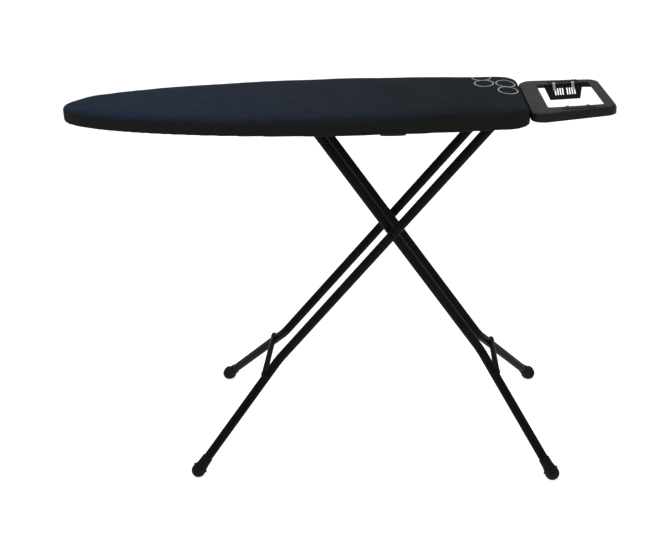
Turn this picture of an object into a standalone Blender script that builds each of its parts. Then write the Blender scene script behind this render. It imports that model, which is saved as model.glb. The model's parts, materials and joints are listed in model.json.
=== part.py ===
"""Folding ironing board with an iron rest: metres, +Z up.

The origin is on the floor under the middle of the board's length and width. +X runs from the nose
to the iron rest, and the near side is -Y. It stands open at its greatest height.
"""

import math

import bmesh
import bpy
from mathutils import Matrix, Vector

# Overall sizes
REACH = 0.6445
DECK_TOP_Z = 0.9236
DECK_END_X = 0.4530
DECK_HALF_WIDTH = 0.1915
NOSE_LENGTH = 0.650
NOSE_POWER = 1.7
NOSE_ROUNDING = 0.488
END_TAPER = 0.145
END_CORNER = 0.053
NOSE_CROWN_LENGTH = 0.075
NOSE_CROWN = 2.2
GAP = 0.0003

# Board layers, from the top down
COVER_THICKNESS = 0.001
COVER_BOTTOM_Z = 0.8808
COVER_HEM = 0.022
PAD_TOP_Z = DECK_TOP_Z - 0.0014
PANEL_TOP_Z = DECK_TOP_Z - 0.0111
PANEL_THICKNESS = 0.001
PANEL_BOTTOM_Z = PANEL_TOP_Z - PANEL_THICKNESS
RAIL_INSET = 0.0020
PANEL_INSET = 0.0028
RAIL_THICKNESS = 0.0015
RAIL_BOTTOM_Z = COVER_BOTTOM_Z + 0.0047
MEMBER_TOP_Z = PANEL_BOTTOM_Z - GAP
MEMBER_DEPTH = 0.003
MEMBER_WIDTH = 0.030
MEMBER_END_GAP = 0.005
END_MEMBER_WIDTH = 0.027
END_MEMBER_SHORTER = 0.030
NOSE_MEMBER_X = -0.395
MID_MEMBER_X = -0.010
HINGE_MEMBER_SHIFT = -0.004
END_MEMBER_X = 0.4300
HANG_Z = MEMBER_TOP_Z - MEMBER_DEPTH - GAP

# Scissor legs
PIVOT_Z = 0.890
CROSS = Vector((0.1412, 0.0, 0.5916))
OUTER_ANGLE = math.radians(49.21)
INNER_ANGLE = math.radians(55.93)
TUBE_RADIUS = 0.0113
TUBE_WALL = 0.0012
OUTER_HALF_GAUGES = (0.0705, 0.0742)
INNER_HALF_GAUGES = (0.0392, 0.0410)
OUTER_KINK_Z = 0.2472
INNER_KINK_Z = 0.2578
FOOT_HALF_SPREAD = 0.2350
OUTER_FOOT_X = -0.3558
INNER_FOOT_X = 0.5335
FOOT_Z = 0.0196
KINK_RADIUS = 0.060
FOOT_END_Z = 0.0096
DOME_CENTRE = 0.0099
DOME_RADIUS = 0.0179
LIP_RADIUS = 0.0195
SLEEVE_RADIUS = 0.0137
BRACE_RADIUS = 0.0075
BRACE_OFFSET = 0.0085
BRACE_PAST_TUBE = 0.0145
OUTER_BRACE_BELOW_KINK = 0.045
INNER_BRACE_BELOW_KINK = 0.058
HINGE_TUBE_RADIUS = 0.008
HINGE_ROD_RADIUS = 0.004
HINGE_ROD_HEAD = 0.003
RUNNING_GAP = 0.0004
SLIDE_BAR_RADIUS = 0.006
TRACK_Y = 0.100
TRACK_LEFT_X = -0.408
TRACK_RIGHT_X = 0.003
TRACK_THICKNESS = 0.003
ROLLER_RADIUS = 0.009
ROLLER_LENGTH = 0.009
BRACKET_Y = 0.0855
BRACKET_THICKNESS = 0.003
RIVET_RADIUS = 0.003
RIVET_HEAD_RADIUS = 0.0070
RIVET_HEAD_HEIGHT = 0.0028

OUTER_TOP = CROSS + Vector((1 / math.tan(OUTER_ANGLE), 0, 1)) * (PIVOT_Z - CROSS.z)
INNER_TOP = CROSS + Vector((-1 / math.tan(INNER_ANGLE), 0, 1)) * (PIVOT_Z - CROSS.z)

# Slide track: the inner leg's bar runs from its open place to its folded place
SLIDE_TRAVEL = 0.2946
SLOT_CLEARANCE = 0.003
SLOT_BOTTOM_Z = 0.8810
SLOT_TOP_Z = 0.9015
NOTCH_COUNT = 6
NOTCH_PITCH = 0.030
NOTCH_DEPTH = 0.0030
NOTCH_WIDTH = 0.013
TRACK_BOTTOM_Z = 0.8745

# Release lever
ROD_Y = -0.128
ROD_Z = 0.899
ROD_RADIUS = 0.003
ROD_LEFT_X = -0.080
ROD_RIGHT_X = 0.150
ROD_SHOULDER = Vector((ROD_RIGHT_X, ROD_Y - 0.024, ROD_Z - 0.001))
ROD_TIP = Vector((ROD_RIGHT_X, ROD_Y - 0.033, 0.8755))
ROD_CLIPS_X = (-0.034, 0.134)
GRIP_LENGTH = 0.057
SPRING_START_X = 0.112
SPRING_TURNS = 5
SPRING_RADIUS = 0.0047
SPRING_WIRE = 0.0007
SPRING_PITCH = 0.0032

# Iron rest, in its own frame: u along the rest, y across, w up from its top face
REST_TILT = math.radians(2.6)
REST_START_X = 0.4545
REST_START_Z = 0.9100
REST_SKIRT = 0.020
REST_LENGTH = (REACH - REST_START_X - REST_SKIRT * math.sin(REST_TILT)) / math.cos(REST_TILT)
REST_HALF_LEFT = 0.158
REST_HALF_RIGHT = 0.1265
REST_CORNER = 0.030
REST_PLATE = 0.003
RIM_DEPTH = 0.0040
WINDOW_LEFT = 0.0407
WINDOW_RIGHT = 0.1640
WINDOW_HALF = 0.1012
WINDOW_CORNER = 0.008
GUARD_CENTRE = 0.1045
GUARD_SLOPE = math.radians(32)
GUARD_LENGTH = 0.044
GUARD_TOP_WIDTH = 0.091
GUARD_BOTTOM_WIDTH = 0.070
GUARD_THICKNESS = 0.0025
GRILLE_SLOT = (0.0034, 0.024)
GRILLE_COUNT = 8
GRILLE_SHIFT = 0.0023
GRILLE_PLACE = 0.43
GRILLE_PITCH = 0.00575
GRILLE_GAP = 0.0048
CLIP_WIDTH = 0.0062
CLIP_THICKNESS = 0.0012
CLIP_HOOK = 0.0050
CLIP_SPACING = 0.0445
REST_PAD_HALF_Y = 0.0065
REST_PAD_Y = 0.1205
RIB_COUNT = 9
RIB_PITCH = 0.0080
RIB_HEIGHT = 0.0014
RIB_WIDTH = 0.0042
PAD_BASE = 0.0006

# Strap and screws that hold the iron rest
STRAP_HALF_WIDTH = 0.030
STRAP_THICKNESS = 0.0025
STRAP_LOW_Z = COVER_BOTTOM_Z - STRAP_THICKNESS - 2 * GAP
STRAP_FOOT = 0.023
SCREW_U = 0.0260
SCREW_Y = 0.016
SCREW_RADIUS = 0.0018
SCREW_HEAD = 0.0026

ROUND = 24
SMALL_ROUND = 16


def clear_scene():
    for obj in list(bpy.data.objects):
        bpy.data.objects.remove(obj, do_unlink=True)


def material(name, colour, roughness, metallic=0.0):
    made = bpy.data.materials.new(name)
    made.use_nodes = True
    shader = made.node_tree.nodes["Principled BSDF"]
    shader.inputs["Base Color"].default_value = (*colour, 1.0)
    shader.inputs["Roughness"].default_value = roughness
    shader.inputs["Metallic"].default_value = metallic
    return made


def empty(name, location, tilt=0.0):
    made = bpy.data.objects.new(name, None)
    made.location = location
    made.rotation_euler = (0.0, -tilt, 0.0)
    made.empty_display_size = 0.05
    bpy.context.collection.objects.link(made)
    return made


def add(name, bm, parent, finish, local=False):
    """Makes the object, with its origin at its parent's. Unless local, bm holds world positions."""
    if not local:
        bmesh.ops.translate(bm, verts=bm.verts, vec=-parent.location)
    bmesh.ops.recalc_face_normals(bm, faces=bm.faces)
    mesh = bpy.data.meshes.new(name)
    bm.to_mesh(mesh)
    bm.free()
    mesh.materials.append(finish)
    mesh.shade_smooth()
    mesh.set_sharp_from_angle(angle=math.radians(35))
    obj = bpy.data.objects.new(name, mesh)
    obj.parent = parent
    bpy.context.collection.objects.link(obj)
    return obj


def cut(obj, cutter):
    cutter.hide_render = True
    cutter.display_type = "WIRE"
    modifier = obj.modifiers.new("cut_" + cutter.name, "BOOLEAN")
    modifier.operation = "DIFFERENCE"
    modifier.object = cutter


def loft(rings, closed=False):
    """A solid through rings of equal length. A closed one joins its last ring to its first."""
    bm = bmesh.new()
    loops = [[bm.verts.new(point) for point in ring] for ring in rings]
    size = len(loops[0])
    steps = len(loops) if closed else len(loops) - 1
    for step in range(steps):
        here = loops[step]
        there = loops[(step + 1) % len(loops)]
        for i in range(size):
            j = (i + 1) % size
            bm.faces.new((here[i], here[j], there[j], there[i]))
    if not closed:
        bm.faces.new(loops[0])
        bm.faces.new(loops[-1])
    return bm


def box(low, high):
    ends = []
    for x in (low[0], high[0]):
        ends.append([(x, low[1], low[2]), (x, high[1], low[2]), (x, high[1], high[2]), (x, low[1], high[2])])
    return loft(ends)


def prism_along_y(points, low_y, high_y):
    return loft([[(x, y, z) for x, z in points] for y in (low_y, high_y)])


def prism_along_x(points, low_x, high_x):
    return loft([[(x, y, z) for y, z in points] for x in (low_x, high_x)])


def band(path, thickness):
    """The outline of a strip of even thickness whose one face follows the path, to its left."""
    path = [Vector(point) for point in path]
    other = []
    for i, point in enumerate(path):
        before = (point - path[i - 1]).normalized() if i else None
        after = (path[i + 1] - point).normalized() if i + 1 < len(path) else None
        before = before or after
        after = after or before
        first = Vector((-before.y, before.x))
        second = Vector((-after.y, after.x))
        other.append(point + (first + second) / (1 + first.dot(second)) * thickness)
    return [tuple(point) for point in path] + [tuple(point) for point in reversed(other)]


def circle(centre, across, up, radius, sides):
    turns = [2 * math.pi * i / sides for i in range(sides)]
    return [centre + (across * math.cos(a) + up * math.sin(a)) * radius for a in turns]


def sweep_rings(path, radius, sides):
    """Rings square to a path, each turned as little as possible from the one before."""
    directions = [(after - before).normalized() for before, after in zip(path, path[1:])]
    tangents = [directions[0]]
    tangents += [(a + b).normalized() for a, b in zip(directions, directions[1:])]
    tangents.append(directions[-1])
    across = tangents[0].orthogonal().normalized()
    rings = []
    for i, point in enumerate(path):
        across = (across - tangents[i] * across.dot(tangents[i])).normalized()
        rings.append(circle(point, across, tangents[i].cross(across), radius, sides))
    return rings


def rod(start, end, radius, sides=SMALL_ROUND):
    return loft(sweep_rings([Vector(start), Vector(end)], radius, sides))


def pipe(path, radius, wall, sides=ROUND):
    """A hollow tube, open at both ends."""
    outside = sweep_rings(path, radius, sides)
    inside = sweep_rings(path, radius - wall, sides)
    return loft(outside + inside[::-1], closed=True)


def turned(base, direction, profile, sides=ROUND):
    """A turned solid: profile gives (distance along the direction, radius) and ends on the axis."""
    direction = Vector(direction).normalized()
    across = direction.orthogonal().normalized()
    up = direction.cross(across)
    rings = [circle(Vector(base) + direction * t, across, up, radius, sides) for t, radius in profile]
    return loft(rings)


def arc_corner(corner, before, after, radius, steps):
    """Points of a round corner between two straight runs."""
    towards_start = (before - corner).normalized()
    towards_end = (after - corner).normalized()
    half = towards_start.angle(towards_end) / 2
    inwards = (towards_start + towards_end).normalized()
    centre = corner + inwards * (radius / math.sin(half))
    start = corner + towards_start * (radius / math.tan(half)) - centre
    axis = start.cross(-inwards)
    turn = math.pi - 2 * half
    return [centre + Matrix.Rotation(turn * i / steps, 3, axis) @ start for i in range(steps + 1)]


def side_half_width(x):
    run = (x + REACH) / NOSE_LENGTH
    if run < 1:
        return DECK_HALF_WIDTH * (1 - (1 - run) ** NOSE_POWER) ** NOSE_ROUNDING
    return DECK_HALF_WIDTH - END_TAPER * (x + REACH - NOSE_LENGTH) ** 2


def half_outline(nose_steps=14, side_steps=5, corner_steps=6):
    """(x, half width) from the nose tip to the middle of the end."""
    points = []
    for i in range(nose_steps):
        x = -REACH + NOSE_LENGTH * (1 - math.cos(math.pi / 2 * i / nose_steps))
        points.append((x, side_half_width(x)))
    lean = math.atan(2 * END_TAPER * (DECK_END_X - END_CORNER + REACH - NOSE_LENGTH))
    widest_x = NOSE_LENGTH - REACH
    corner_x = DECK_END_X - END_CORNER * (1 - math.sin(lean))
    for i in range(side_steps):
        x = widest_x + (corner_x - widest_x) * i / side_steps
        points.append((x, side_half_width(x)))
    centre_y = side_half_width(corner_x) - END_CORNER * math.cos(lean)
    for i in range(corner_steps + 1):
        turn = (math.pi / 2 - lean) * (1 - i / corner_steps)
        x = DECK_END_X - END_CORNER + END_CORNER * math.cos(turn)
        points.append((x, centre_y + END_CORNER * math.sin(turn)))
    return points


def inset_loop(loop, inset):
    """The closed, convex, anticlockwise loop pulled in by an even distance."""
    points = [Vector(point) for point in loop]
    pulled = []
    for i, point in enumerate(points):
        before = (point - points[i - 1]).normalized()
        after = (points[(i + 1) % len(points)] - point).normalized()
        first = Vector((-before.y, before.x))
        second = Vector((-after.y, after.x))
        pulled.append(point + (first + second) / (1 + first.dot(second)) * inset)
    return pulled


def deck_loop(inset=0.0):
    half = half_outline()
    near = [(x, -y) for x, y in half]
    far = [(x, y) for x, y in reversed(half[1:])]
    return inset_loop(near + far, inset)


def crown(x):
    """How much wider the top edge's rounding is towards the nose."""
    return 1 + NOSE_CROWN * max(0, 1 - (x + REACH) / NOSE_CROWN_LENGTH) ** 2


def deck_rings(levels, crowned=False):
    """Rings round the deck, one for each (inset, z)."""
    edge = deck_loop()
    rings = []
    for inset, z in levels:
        ring = []
        for start, end in zip(edge, deck_loop(inset)):
            point = start + (end - start) * (crown(start.x) if crowned else 1)
            ring.append((point.x, point.y, z))
        rings.append(ring)
    return rings


def build_cover(deck, cloth):
    skin = COVER_THICKNESS
    low = COVER_BOTTOM_Z
    top = DECK_TOP_Z
    outside = [(COVER_HEM, low), (0.005, low), (0.0015, low + 0.002), (0, low + 0.007), (0, top - 0.012)]
    over = [(0.002, top - 0.0055), (0.006, top - 0.0015), (0.012, top)]
    under = [(0.0125, top - skin), (0.0068, top - skin - 0.0014), (0.003, top - skin - 0.005)]
    inside = [(skin, top - 0.012), (skin, low + 0.0045), (0.0055, low + skin), (COVER_HEM, low + skin)]
    rings = deck_rings(outside) + deck_rings(over, True) + deck_rings(under, True) + deck_rings(inside)
    bm = bmesh.new()
    loops = [[bm.verts.new(point) for point in ring] for ring in rings]
    size = len(loops[0])
    top_ring = len(outside) + len(over) - 1
    for step in range(len(loops)):
        if step == top_ring:
            continue
        here = loops[step]
        there = loops[(step + 1) % len(loops)]
        for i in range(size):
            j = (i + 1) % size
            bm.faces.new((here[i], here[j], there[j], there[i]))
    bm.faces.new(loops[top_ring])
    bm.faces.new(loops[top_ring + 1])
    add("board_cover", bm, deck, cloth)


def build_pad(deck, felt):
    low = PANEL_TOP_Z + GAP
    top = DECK_TOP_Z
    base = deck_rings([(0.0035, low)])
    levels = [(0.0045, top - 0.0060), (0.0088, top - 0.0029), (0.0145, PAD_TOP_Z)]
    add("board_pad", loft(base + deck_rings(levels, True)), deck, felt)


def build_panel(deck, steel):
    levels = [(PANEL_INSET, PANEL_BOTTOM_Z), (PANEL_INSET, PANEL_TOP_Z)]
    add("deck_panel", loft(deck_rings(levels)), deck, steel)


def build_edge_rails(deck, steel):
    """Two bent strips, near and far, that meet at the nose and at the end."""
    outer = deck_loop(RAIL_INSET)
    inner = deck_loop(RAIL_INSET + RAIL_THICKNESS)
    half = len(half_outline())
    low = RAIL_BOTTOM_Z
    high = PANEL_BOTTOM_Z - GAP
    for name, side in (("edge_rail_near", -1), ("edge_rail_far", 1)):
        rings = []
        for i in range(half):
            ring = []
            for loop, z in ((outer, low), (inner, low), (inner, high), (outer, high)):
                ring.append((loop[i].x, side * max(abs(loop[i].y), GAP), z))
            rings.append(ring)
        outer_end = outer[half - 1].x
        inner_end = inner[half - 1].x
        corners = ((outer_end, low), (inner_end, low), (inner_end, high), (outer_end, high))
        rings.append([(x, side * GAP, z) for x, z in corners])
        add(name, loft(rings), deck, steel)


def build_cross_members(deck, steel):
    places = [("cross_member_nose", NOSE_MEMBER_X, MEMBER_WIDTH, 0.0)]
    places.append(("cross_member_mid", MID_MEMBER_X, MEMBER_WIDTH, 0.0))
    places.append(("cross_member_hinge", OUTER_TOP.x + HINGE_MEMBER_SHIFT, MEMBER_WIDTH, 0.0))
    places.append(("cross_member_end", END_MEMBER_X, END_MEMBER_WIDTH, END_MEMBER_SHORTER))
    for name, x, width, shorter in places:
        half_x = width / 2
        reach = min(side_half_width(x - half_x), side_half_width(x + half_x)) - MEMBER_END_GAP - shorter
        low = (x - half_x, -reach, MEMBER_TOP_Z - MEMBER_DEPTH)
        add(name, box(low, (x + half_x, reach, MEMBER_TOP_Z)), deck, steel)


def track_slot():
    """The long slot with its row of square notches along the top, as (x, z)."""
    left = INNER_TOP.x - SLIDE_TRAVEL - SLIDE_BAR_RADIUS - SLOT_CLEARANCE
    right = INNER_TOP.x + SLIDE_BAR_RADIUS + SLOT_CLEARANCE
    points = [(left, SLOT_BOTTOM_Z), (right, SLOT_BOTTOM_Z), (right, SLOT_TOP_Z)]
    for i in range(NOTCH_COUNT):
        centre = INNER_TOP.x - NOTCH_PITCH * i
        high = SLOT_TOP_Z + NOTCH_DEPTH
        start = min(centre + NOTCH_WIDTH / 2, right - 0.001)
        points += [(start, SLOT_TOP_Z), (start, high)]
        points += [(centre - NOTCH_WIDTH / 2 + 0.003, high), (centre - NOTCH_WIDTH / 2, SLOT_TOP_Z)]
    points.append((left, SLOT_TOP_Z))
    return points


def build_slide_tracks(deck, steel):
    for name, side in (("slide_track_near", -1), ("slide_track_far", 1)):
        centre = side * TRACK_Y
        half = TRACK_THICKNESS / 2
        plate = box((TRACK_LEFT_X, centre - half, TRACK_BOTTOM_Z), (TRACK_RIGHT_X, centre + half, HANG_Z))
        track = add(name, plate, deck, steel)
        hole = prism_along_y(track_slot(), centre - 2 * half, centre + 2 * half)
        cut(track, add(name + "_cutter", hole, deck, steel))


def build_hinge_brackets(deck, steel):
    for name, side in (("hinge_bracket_near", -1), ("hinge_bracket_far", 1)):
        centre = side * BRACKET_Y
        half = BRACKET_THICKNESS / 2
        x = OUTER_TOP.x
        low = PIVOT_Z - 0.011
        shape = [(x - 0.010, low), (x + 0.010, low), (x + 0.014, low + 0.006), (x + 0.018, HANG_Z)]
        shape += [(x - 0.018, HANG_Z), (x - 0.014, low + 0.006)]
        plate = add(name, prism_along_y(shape, centre - half, centre + half), deck, steel)
        start = (x, centre - 2 * half, PIVOT_Z)
        end = (x, centre + 2 * half, PIVOT_Z)
        bore = rod(start, end, HINGE_ROD_RADIUS + RUNNING_GAP)
        cut(plate, add(name + "_cutter", bore, deck, steel))


def build_hinge_rod(deck, bright_steel):
    reach = BRACKET_Y + BRACKET_THICKNESS / 2 + HINGE_ROD_HEAD + GAP
    head = HINGE_ROD_RADIUS + HINGE_ROD_HEAD
    end = [(0, head - 0.001), (0.001, head), (HINGE_ROD_HEAD, head), (HINGE_ROD_HEAD, HINGE_ROD_RADIUS)]
    profile = end + [(2 * reach - t, radius) for t, radius in reversed(end)]
    base = (OUTER_TOP.x, -reach, PIVOT_Z)
    add("hinge_rod", turned(base, (0, 1, 0), profile, SMALL_ROUND), deck, bright_steel)


def leg_path(top, kink_z, foot_x, half_gauges, side):
    """Centre line of one leg tube: straight to the kink, then splayed out to the foot."""
    top_gauge, kink_gauge = half_gauges
    kink_x = top.x + (CROSS.x - top.x) * (top.z - kink_z) / (top.z - CROSS.z)
    start = Vector((top.x, side * top_gauge, top.z))
    kink = Vector((kink_x, side * kink_gauge, kink_z))
    foot = Vector((foot_x, side * FOOT_HALF_SPREAD, FOOT_Z))
    return start, kink, foot


def half_gauge_at_cross(half_gauges, kink_z):
    top_gauge, kink_gauge = half_gauges
    share = (PIVOT_Z - CROSS.z) / (PIVOT_Z - kink_z)
    return top_gauge + (kink_gauge - top_gauge) * share


def foot_axis(kink, foot):
    """The foot's end on the tube's line, and the direction up the leg."""
    up = (kink - foot).normalized()
    return foot + up * ((FOOT_END_Z - foot.z) / up.z), up


def leg_centre_line(line, top_gap):
    start, kink, foot = line
    end, up = foot_axis(kink, foot)
    down = (kink - start).normalized()
    return [start + down * top_gap] + arc_corner(kink, start, foot, KINK_RADIUS, 6) + [end + up * 0.0145]


def build_leg_tube(name, line, top_gap, body, paint):
    tube = add(name, pipe(leg_centre_line(line, top_gap), TUBE_RADIUS, TUBE_WALL), body, paint)
    y = line[0].y
    reach = 2 * TUBE_RADIUS
    bore = rod((CROSS.x, y - reach, CROSS.z), (CROSS.x, y + reach, CROSS.z), RIVET_RADIUS + RUNNING_GAP)
    cut(tube, add(name + "_cutter", bore, body, paint))


def build_foot(name, line, body, rubber):
    """A cap on the tube's end: a sleeve, a lip, and a dome with a small flat on the floor."""
    _, kink, foot = line
    end, up = foot_axis(kink, foot)
    bore = TUBE_RADIUS + GAP
    profile = []
    for i in range(1, 7):
        turn = math.radians(17 * i)
        profile.append((DOME_CENTRE - DOME_RADIUS * math.cos(turn), DOME_RADIUS * math.sin(turn)))
    profile += [(0.0158, 0.0182), (0.0166, LIP_RADIUS), (0.0188, LIP_RADIUS), (0.0202, 0.0176)]
    profile += [(0.0235, 0.0154), (0.0290, 0.0144), (0.0500, SLEEVE_RADIUS), (0.0515, SLEEVE_RADIUS - 0.0006)]
    profile += [(0.0515, bore), (0.0140, bore)]
    bm = turned(end, up, profile)
    geometry = list(bm.verts) + list(bm.edges) + list(bm.faces)
    floor = bmesh.ops.bisect_plane(bm, geom=geometry, plane_no=(0, 0, 1), clear_inner=True)
    rim = [item for item in floor["geom_cut"] if isinstance(item, bmesh.types.BMEdge)]
    bmesh.ops.edgeloop_fill(bm, edges=rim)
    add(name, bm, body, rubber)


def build_brace(name, lines, below_kink, body, paint):
    """A bar across a leg's two tubes below their kinks, coped to sit on their upper sides."""
    start, kink, foot = lines[1]
    down = (kink - start).normalized()
    outwards = down.cross(Vector((0, 1, 0))) * math.copysign(1, down.x)
    splay = (foot - kink) / (foot - kink).dot(down)
    on_tube = kink + splay * below_kink
    end = on_tube + outwards * BRACE_OFFSET + Vector((0, BRACE_PAST_TUBE, 0))
    bar = add(name, rod((end.x, -end.y, end.z), end, BRACE_RADIUS, ROUND), body, paint)
    for line, word in zip(lines, ("near", "far")):
        cope = loft(sweep_rings(leg_centre_line(line, 0.1), TUBE_RADIUS + GAP, ROUND))
        cut(bar, add(f"{name}_{word}_cutter", cope, body, paint))


def build_outer_leg(body, paint, rubber):
    lines = []
    for side, word in ((-1, "near"), (1, "far")):
        line = leg_path(OUTER_TOP, OUTER_KINK_Z, OUTER_FOOT_X, OUTER_HALF_GAUGES, side)
        lines.append(line)
        build_leg_tube("outer_leg_tube_" + word, line, HINGE_TUBE_RADIUS + 2 * GAP, body, paint)
        build_foot("outer_leg_foot_" + word, line, body, rubber)
    build_brace("outer_leg_brace", lines, OUTER_BRACE_BELOW_KINK, body, paint)
    reach = OUTER_HALF_GAUGES[0] + TUBE_RADIUS
    axle = [Vector((OUTER_TOP.x, y, PIVOT_Z)) for y in (-reach, reach)]
    wall = HINGE_TUBE_RADIUS - HINGE_ROD_RADIUS - RUNNING_GAP
    add("outer_leg_hinge_tube", pipe(axle, HINGE_TUBE_RADIUS, wall), body, paint)


def build_inner_leg(body, paint, rubber, nylon):
    lines = []
    for side, word in ((-1, "near"), (1, "far")):
        line = leg_path(INNER_TOP, INNER_KINK_Z, INNER_FOOT_X, INNER_HALF_GAUGES, side)
        lines.append(line)
        build_leg_tube("inner_leg_tube_" + word, line, SLIDE_BAR_RADIUS + 2 * GAP, body, paint)
        build_foot("inner_leg_foot_" + word, line, body, rubber)
    build_brace("inner_leg_brace", lines, INNER_BRACE_BELOW_KINK, body, paint)
    reach = TRACK_Y + TRACK_THICKNESS / 2 + ROLLER_LENGTH + 0.003
    ends = [(INNER_TOP.x, y, PIVOT_Z) for y in (-reach, reach)]
    add("inner_leg_slide_bar", rod(*ends, SLIDE_BAR_RADIUS, ROUND), body, paint)
    for side, word in ((-1, "near"), (1, "far")):
        start = side * (TRACK_Y + TRACK_THICKNESS / 2 + 0.001)
        bore = SLIDE_BAR_RADIUS + GAP
        profile = [(0, bore), (0, ROLLER_RADIUS - 0.001), (0.001, ROLLER_RADIUS)]
        profile += [(ROLLER_LENGTH - 0.001, ROLLER_RADIUS), (ROLLER_LENGTH, ROLLER_RADIUS - 0.001)]
        profile += [(ROLLER_LENGTH, bore)]
        across = Vector((1, 0, 0))
        rings = []
        for t, radius in profile:
            centre = Vector((INNER_TOP.x, start + side * t, PIVOT_Z))
            rings.append(circle(centre, across, Vector((0, 0, 1)), radius, ROUND))
        add("slide_roller_" + word, loft(rings, closed=True), body, nylon)


def build_crossing(body, paint, nylon):
    """Each side's rivet through both tubes, with a spacer between them."""
    outer = half_gauge_at_cross(OUTER_HALF_GAUGES, OUTER_KINK_Z)
    inner = half_gauge_at_cross(INNER_HALF_GAUGES, INNER_KINK_Z)
    inside = inner - TUBE_RADIUS - 2 * GAP
    outside = outer + TUBE_RADIUS + 2 * GAP
    head = RIVET_HEAD_RADIUS
    height = RIVET_HEAD_HEIGHT
    length = outside - inside + 2 * height
    dome = [(0, 0.45 * head), (0.35 * height, 0.8 * head), (height, head)]
    tail = [(length - t, radius) for t, radius in reversed(dome)]
    profile = dome + [(height, RIVET_RADIUS), (length - height, RIVET_RADIUS)] + tail
    for side, word in ((-1, "near"), (1, "far")):
        base = (CROSS.x, side * (inside - height), CROSS.z)
        add("cross_rivet_" + word, turned(base, (0, side, 0), profile, SMALL_ROUND), body, paint)
        low = inner + TUBE_RADIUS + 2 * GAP
        high = outer - TUBE_RADIUS - 2 * GAP
        ends = [Vector((CROSS.x, side * y, CROSS.z)) for y in (low, high)]
        wall = RIVET_HEAD_RADIUS - RIVET_RADIUS - RUNNING_GAP
        add("cross_spacer_" + word, pipe(ends, RIVET_HEAD_RADIUS, wall, SMALL_ROUND), body, nylon)


def build_release_rod(body, bright_steel):
    """A long rod along the deck, cranked down to the grip at its right end."""
    elbow = Vector((ROD_RIGHT_X, ROD_Y, ROD_Z))
    start = Vector((ROD_LEFT_X, ROD_Y, ROD_Z))
    path = [start]
    path += arc_corner(elbow, start, ROD_SHOULDER, 0.009, 4)
    path += arc_corner(ROD_SHOULDER, elbow, ROD_TIP, 0.008, 4)
    path.append(ROD_TIP)
    add("release_rod", loft(sweep_rings(path, ROD_RADIUS, SMALL_ROUND)), body, bright_steel)


def build_grip(body, plastic):
    """The finger paddle, with a socket for the rod's end."""
    x = ROD_RIGHT_X
    half = GRIP_LENGTH / 2
    shape = [(-0.1505, 0.8730), (-0.1500, 0.8775), (-0.1530, 0.8797), (-0.1700, 0.8800)]
    shape += [(-0.1735, 0.8780), (-0.1725, 0.8740), (-0.1690, 0.8722), (-0.1600, 0.8714)]
    middle_y = sum(y for y, _ in shape) / len(shape)
    middle_z = sum(z for _, z in shape) / len(shape)
    rings = []
    for offset, shrink in ((-half, 0.72), (-half + 0.006, 1.0), (half - 0.006, 1.0), (half, 0.72)):
        ring = []
        for y, z in shape:
            ring.append((x + offset, middle_y + (y - middle_y) * shrink, middle_z + (z - middle_z) * shrink))
        rings.append(ring)
    grip = add("lever_grip", loft(rings), body, plastic)
    down = (ROD_TIP - ROD_SHOULDER).normalized()
    socket = rod(ROD_TIP - down * 0.02, ROD_TIP + down * GAP, ROD_RADIUS + GAP)
    cut(grip, add("lever_grip_cutter", socket, body, plastic))


def build_pawl(body, bright_steel):
    """The catch on the rod's left end, whose finger stands beside the slide bar's end."""
    x = INNER_TOP.x
    shape = [(ROD_Y - 0.006, ROD_Z - 0.006), (ROD_Y + 0.004, ROD_Z - 0.012), (ROD_Y + 0.0105, ROD_Z - 0.012)]
    shape += [(ROD_Y + 0.0105, ROD_Z - 0.006), (ROD_Y + 0.006, ROD_Z - 0.003), (ROD_Y + 0.006, ROD_Z + 0.006)]
    shape += [(ROD_Y - 0.006, ROD_Z + 0.006)]
    pawl = add("lock_pawl", prism_along_x(shape, x - 0.008, x + 0.008), body, bright_steel)
    bore = rod((x - 0.02, ROD_Y, ROD_Z), (x + 0.02, ROD_Y, ROD_Z), ROD_RADIUS + GAP)
    cut(pawl, add("lock_pawl_cutter", bore, body, bright_steel))


def build_rod_clips(deck, steel):
    for name, x in zip(("rod_clip_left", "rod_clip_right"), ROD_CLIPS_X):
        low = (x - 0.001, ROD_Y - 0.008, ROD_Z - 0.008)
        clip = add(name, box(low, (x + 0.001, ROD_Y + 0.008, MEMBER_TOP_Z)), deck, steel)
        start = (x - 0.003, ROD_Y, ROD_Z)
        bore = rod(start, (x + 0.003, ROD_Y, ROD_Z), ROD_RADIUS + RUNNING_GAP)
        cut(clip, add(name + "_cutter", bore, deck, steel))


def build_lever_spring(deck, bright_steel):
    """A torsion coil round the rod, beside its right clip."""
    path = []
    for i in range(SMALL_ROUND * SPRING_TURNS + 1):
        turn = 2 * math.pi * i / SMALL_ROUND
        x = SPRING_START_X + SPRING_PITCH * i / SMALL_ROUND
        y = ROD_Y + SPRING_RADIUS * math.cos(turn)
        path.append(Vector((x, y, ROD_Z + SPRING_RADIUS * math.sin(turn))))
    add("lever_spring", loft(sweep_rings(path, SPRING_WIRE, 6)), deck, bright_steel)


def rounded_quad(left, right, half_left, half_right, corner, steps=7):
    """An anticlockwise loop round a four-sided plate, wider at one end, with round corners."""
    quad = [Vector((left, -half_left, 0)), Vector((right, -half_right, 0))]
    quad += [Vector((right, half_right, 0)), Vector((left, half_left, 0))]
    points = []
    for i, point in enumerate(quad):
        points += arc_corner(point, quad[i - 1], quad[(i + 1) % 4], corner, steps)
    return [(p.x, p.y) for p in points]


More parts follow.
